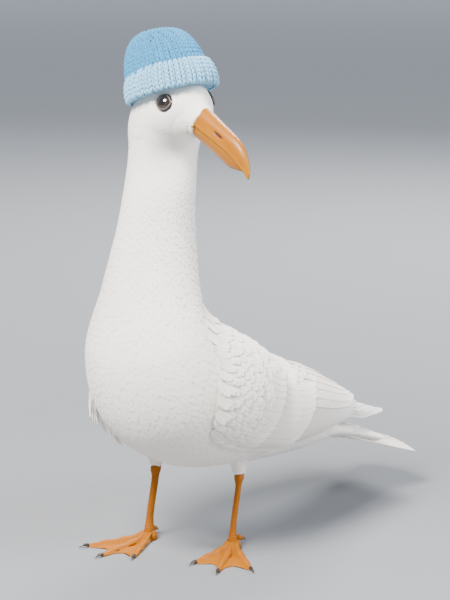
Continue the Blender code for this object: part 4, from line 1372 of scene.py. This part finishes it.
crownCounts = [crownCount(row) for row in range(crownLook["rows"])]
cuffCounts = [cuffLook["columns"]] * cuffLook["rows"]
woolOf = {part: woolMaterial(f"{part} wool", *looks) for part, looks in wool.items()}
beanie = (("crown", crownSurface, crownCounts, crownLook), ("cuff", cuffSurface, cuffCounts, cuffLook))
for part, surface, counts, look in beanie:
    place(knit(f"{part}_stitches", surface, counts, look, woolOf[part]), f"hat_{part}", f"hat_{part}")
for part, surface, _, look in beanie:
    # the linings stand for no node of their own
    place(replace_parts(lining(f"{part}_lining", surface, look, woolOf[part])), f"hat_{part}")

# Camera, lights and floor

# the floor's ramp paints it lighter with distance, making up for the lamps' falloff
studio = {"floor": ((0.05, (0.22, 0.23, 0.245)), (0.3, (0.44, 0.46, 0.49)), (1.0, (0.8, 0.84, 0.89))),
          "half": 60, "sky": (0.8, 0.86, 0.95, 1), "skyPower": 0.55, "middle": (0, -0.02, 0.24)}
# Each lamp's azimuth, elevation, distance, size, power and colour
lamps = {"key": (8, 48, 2.2, 0.8, 185, (1.0, 0.955, 0.9)),
         "fill": (112, 30, 2.4, 1.2, 75, (0.93, 0.95, 1.0)),
         "rim": (205, 40, 2.4, 1.0, 80, (1.0, 0.98, 0.95))}
view = {"azimuth": 42.0, "elevation": 12.0, "distance": 1.75, "lens": 111.0, "sensor": 36,
        "aim": (-0.035, -0.031, 0.226)}


def makeFloor():
    # painted light: the floor's colour is mid grey under the bird and paler with distance, making up for the
    # lamps' falloff so that the floor looks even out to the horizon
    material, tree, shader = newMaterial("backdrop", {"Roughness": 0.9, "Specular IOR Level": 0.1})
    away = tree.nodes.new("ShaderNodeVectorMath")
    away.operation = "LENGTH"
    feed(tree, objectPlace(tree), away.inputs[0])
    shade = ramp(tree, times(tree, away.outputs["Value"], 0.1), *studio["floor"])
    feed(tree, shade, shader.inputs["Base Color"])
    corners = [(x * studio["half"], y * studio["half"], 0) for x, y in ((-1, -1), (1, -1), (1, 1), (-1, 1))]
    floor = bpy.data.meshes.new("floor")
    floor.from_pydata(corners, [], [(0, 1, 2, 3)])
    floor.materials.append(material)
    linked("floor", floor)


def makeSky():
    sky = bpy.data.worlds.new("studio")
    sky.use_nodes = True
    background = sky.node_tree.nodes["Background"]
    background.inputs[0].default_value = studio["sky"]
    background.inputs[1].default_value = studio["skyPower"]
    bpy.context.scene.world = sky


def aimed(name, data, azimuth, elevation, distance, aim):
    # stands a lamp or a camera off from the point that it looks at
    a, e = math.radians(azimuth), math.radians(elevation)
    back = Vector((math.sin(a) * math.cos(e), -math.cos(a) * math.cos(e), math.sin(e)))
    thing = linked(name, data)
    thing.location = Vector(aim) + back * distance
    thing.rotation_euler = back.to_track_quat("Z", "Y").to_euler()
    return thing


makeFloor()
makeSky()
for name, (azimuth, elevation, distance, size, power, colour) in lamps.items():
    lamp = bpy.data.lights.new(name, "AREA")
    lamp.size, lamp.energy, lamp.color = size, power, colour
    aimed(name, lamp, azimuth, elevation, distance, studio["middle"])

lens = bpy.data.cameras.new("camera")
lens.lens, lens.sensor_width = view["lens"], view["sensor"]
camera = aimed("camera", lens, *(view[key] for key in ("azimuth", "elevation", "distance", "aim")))
bpy.context.scene.camera = camera

place(skin, "plumage", "head", "neck", "trunk", "thigh_left", "thigh_right", "tail",
      "wing_left", "wing_right", "primaries_left", "primaries_right")
for thing in coat:
    place(thing, "plumage")

print("triangles", sum(coatCount.values()), coatCount)
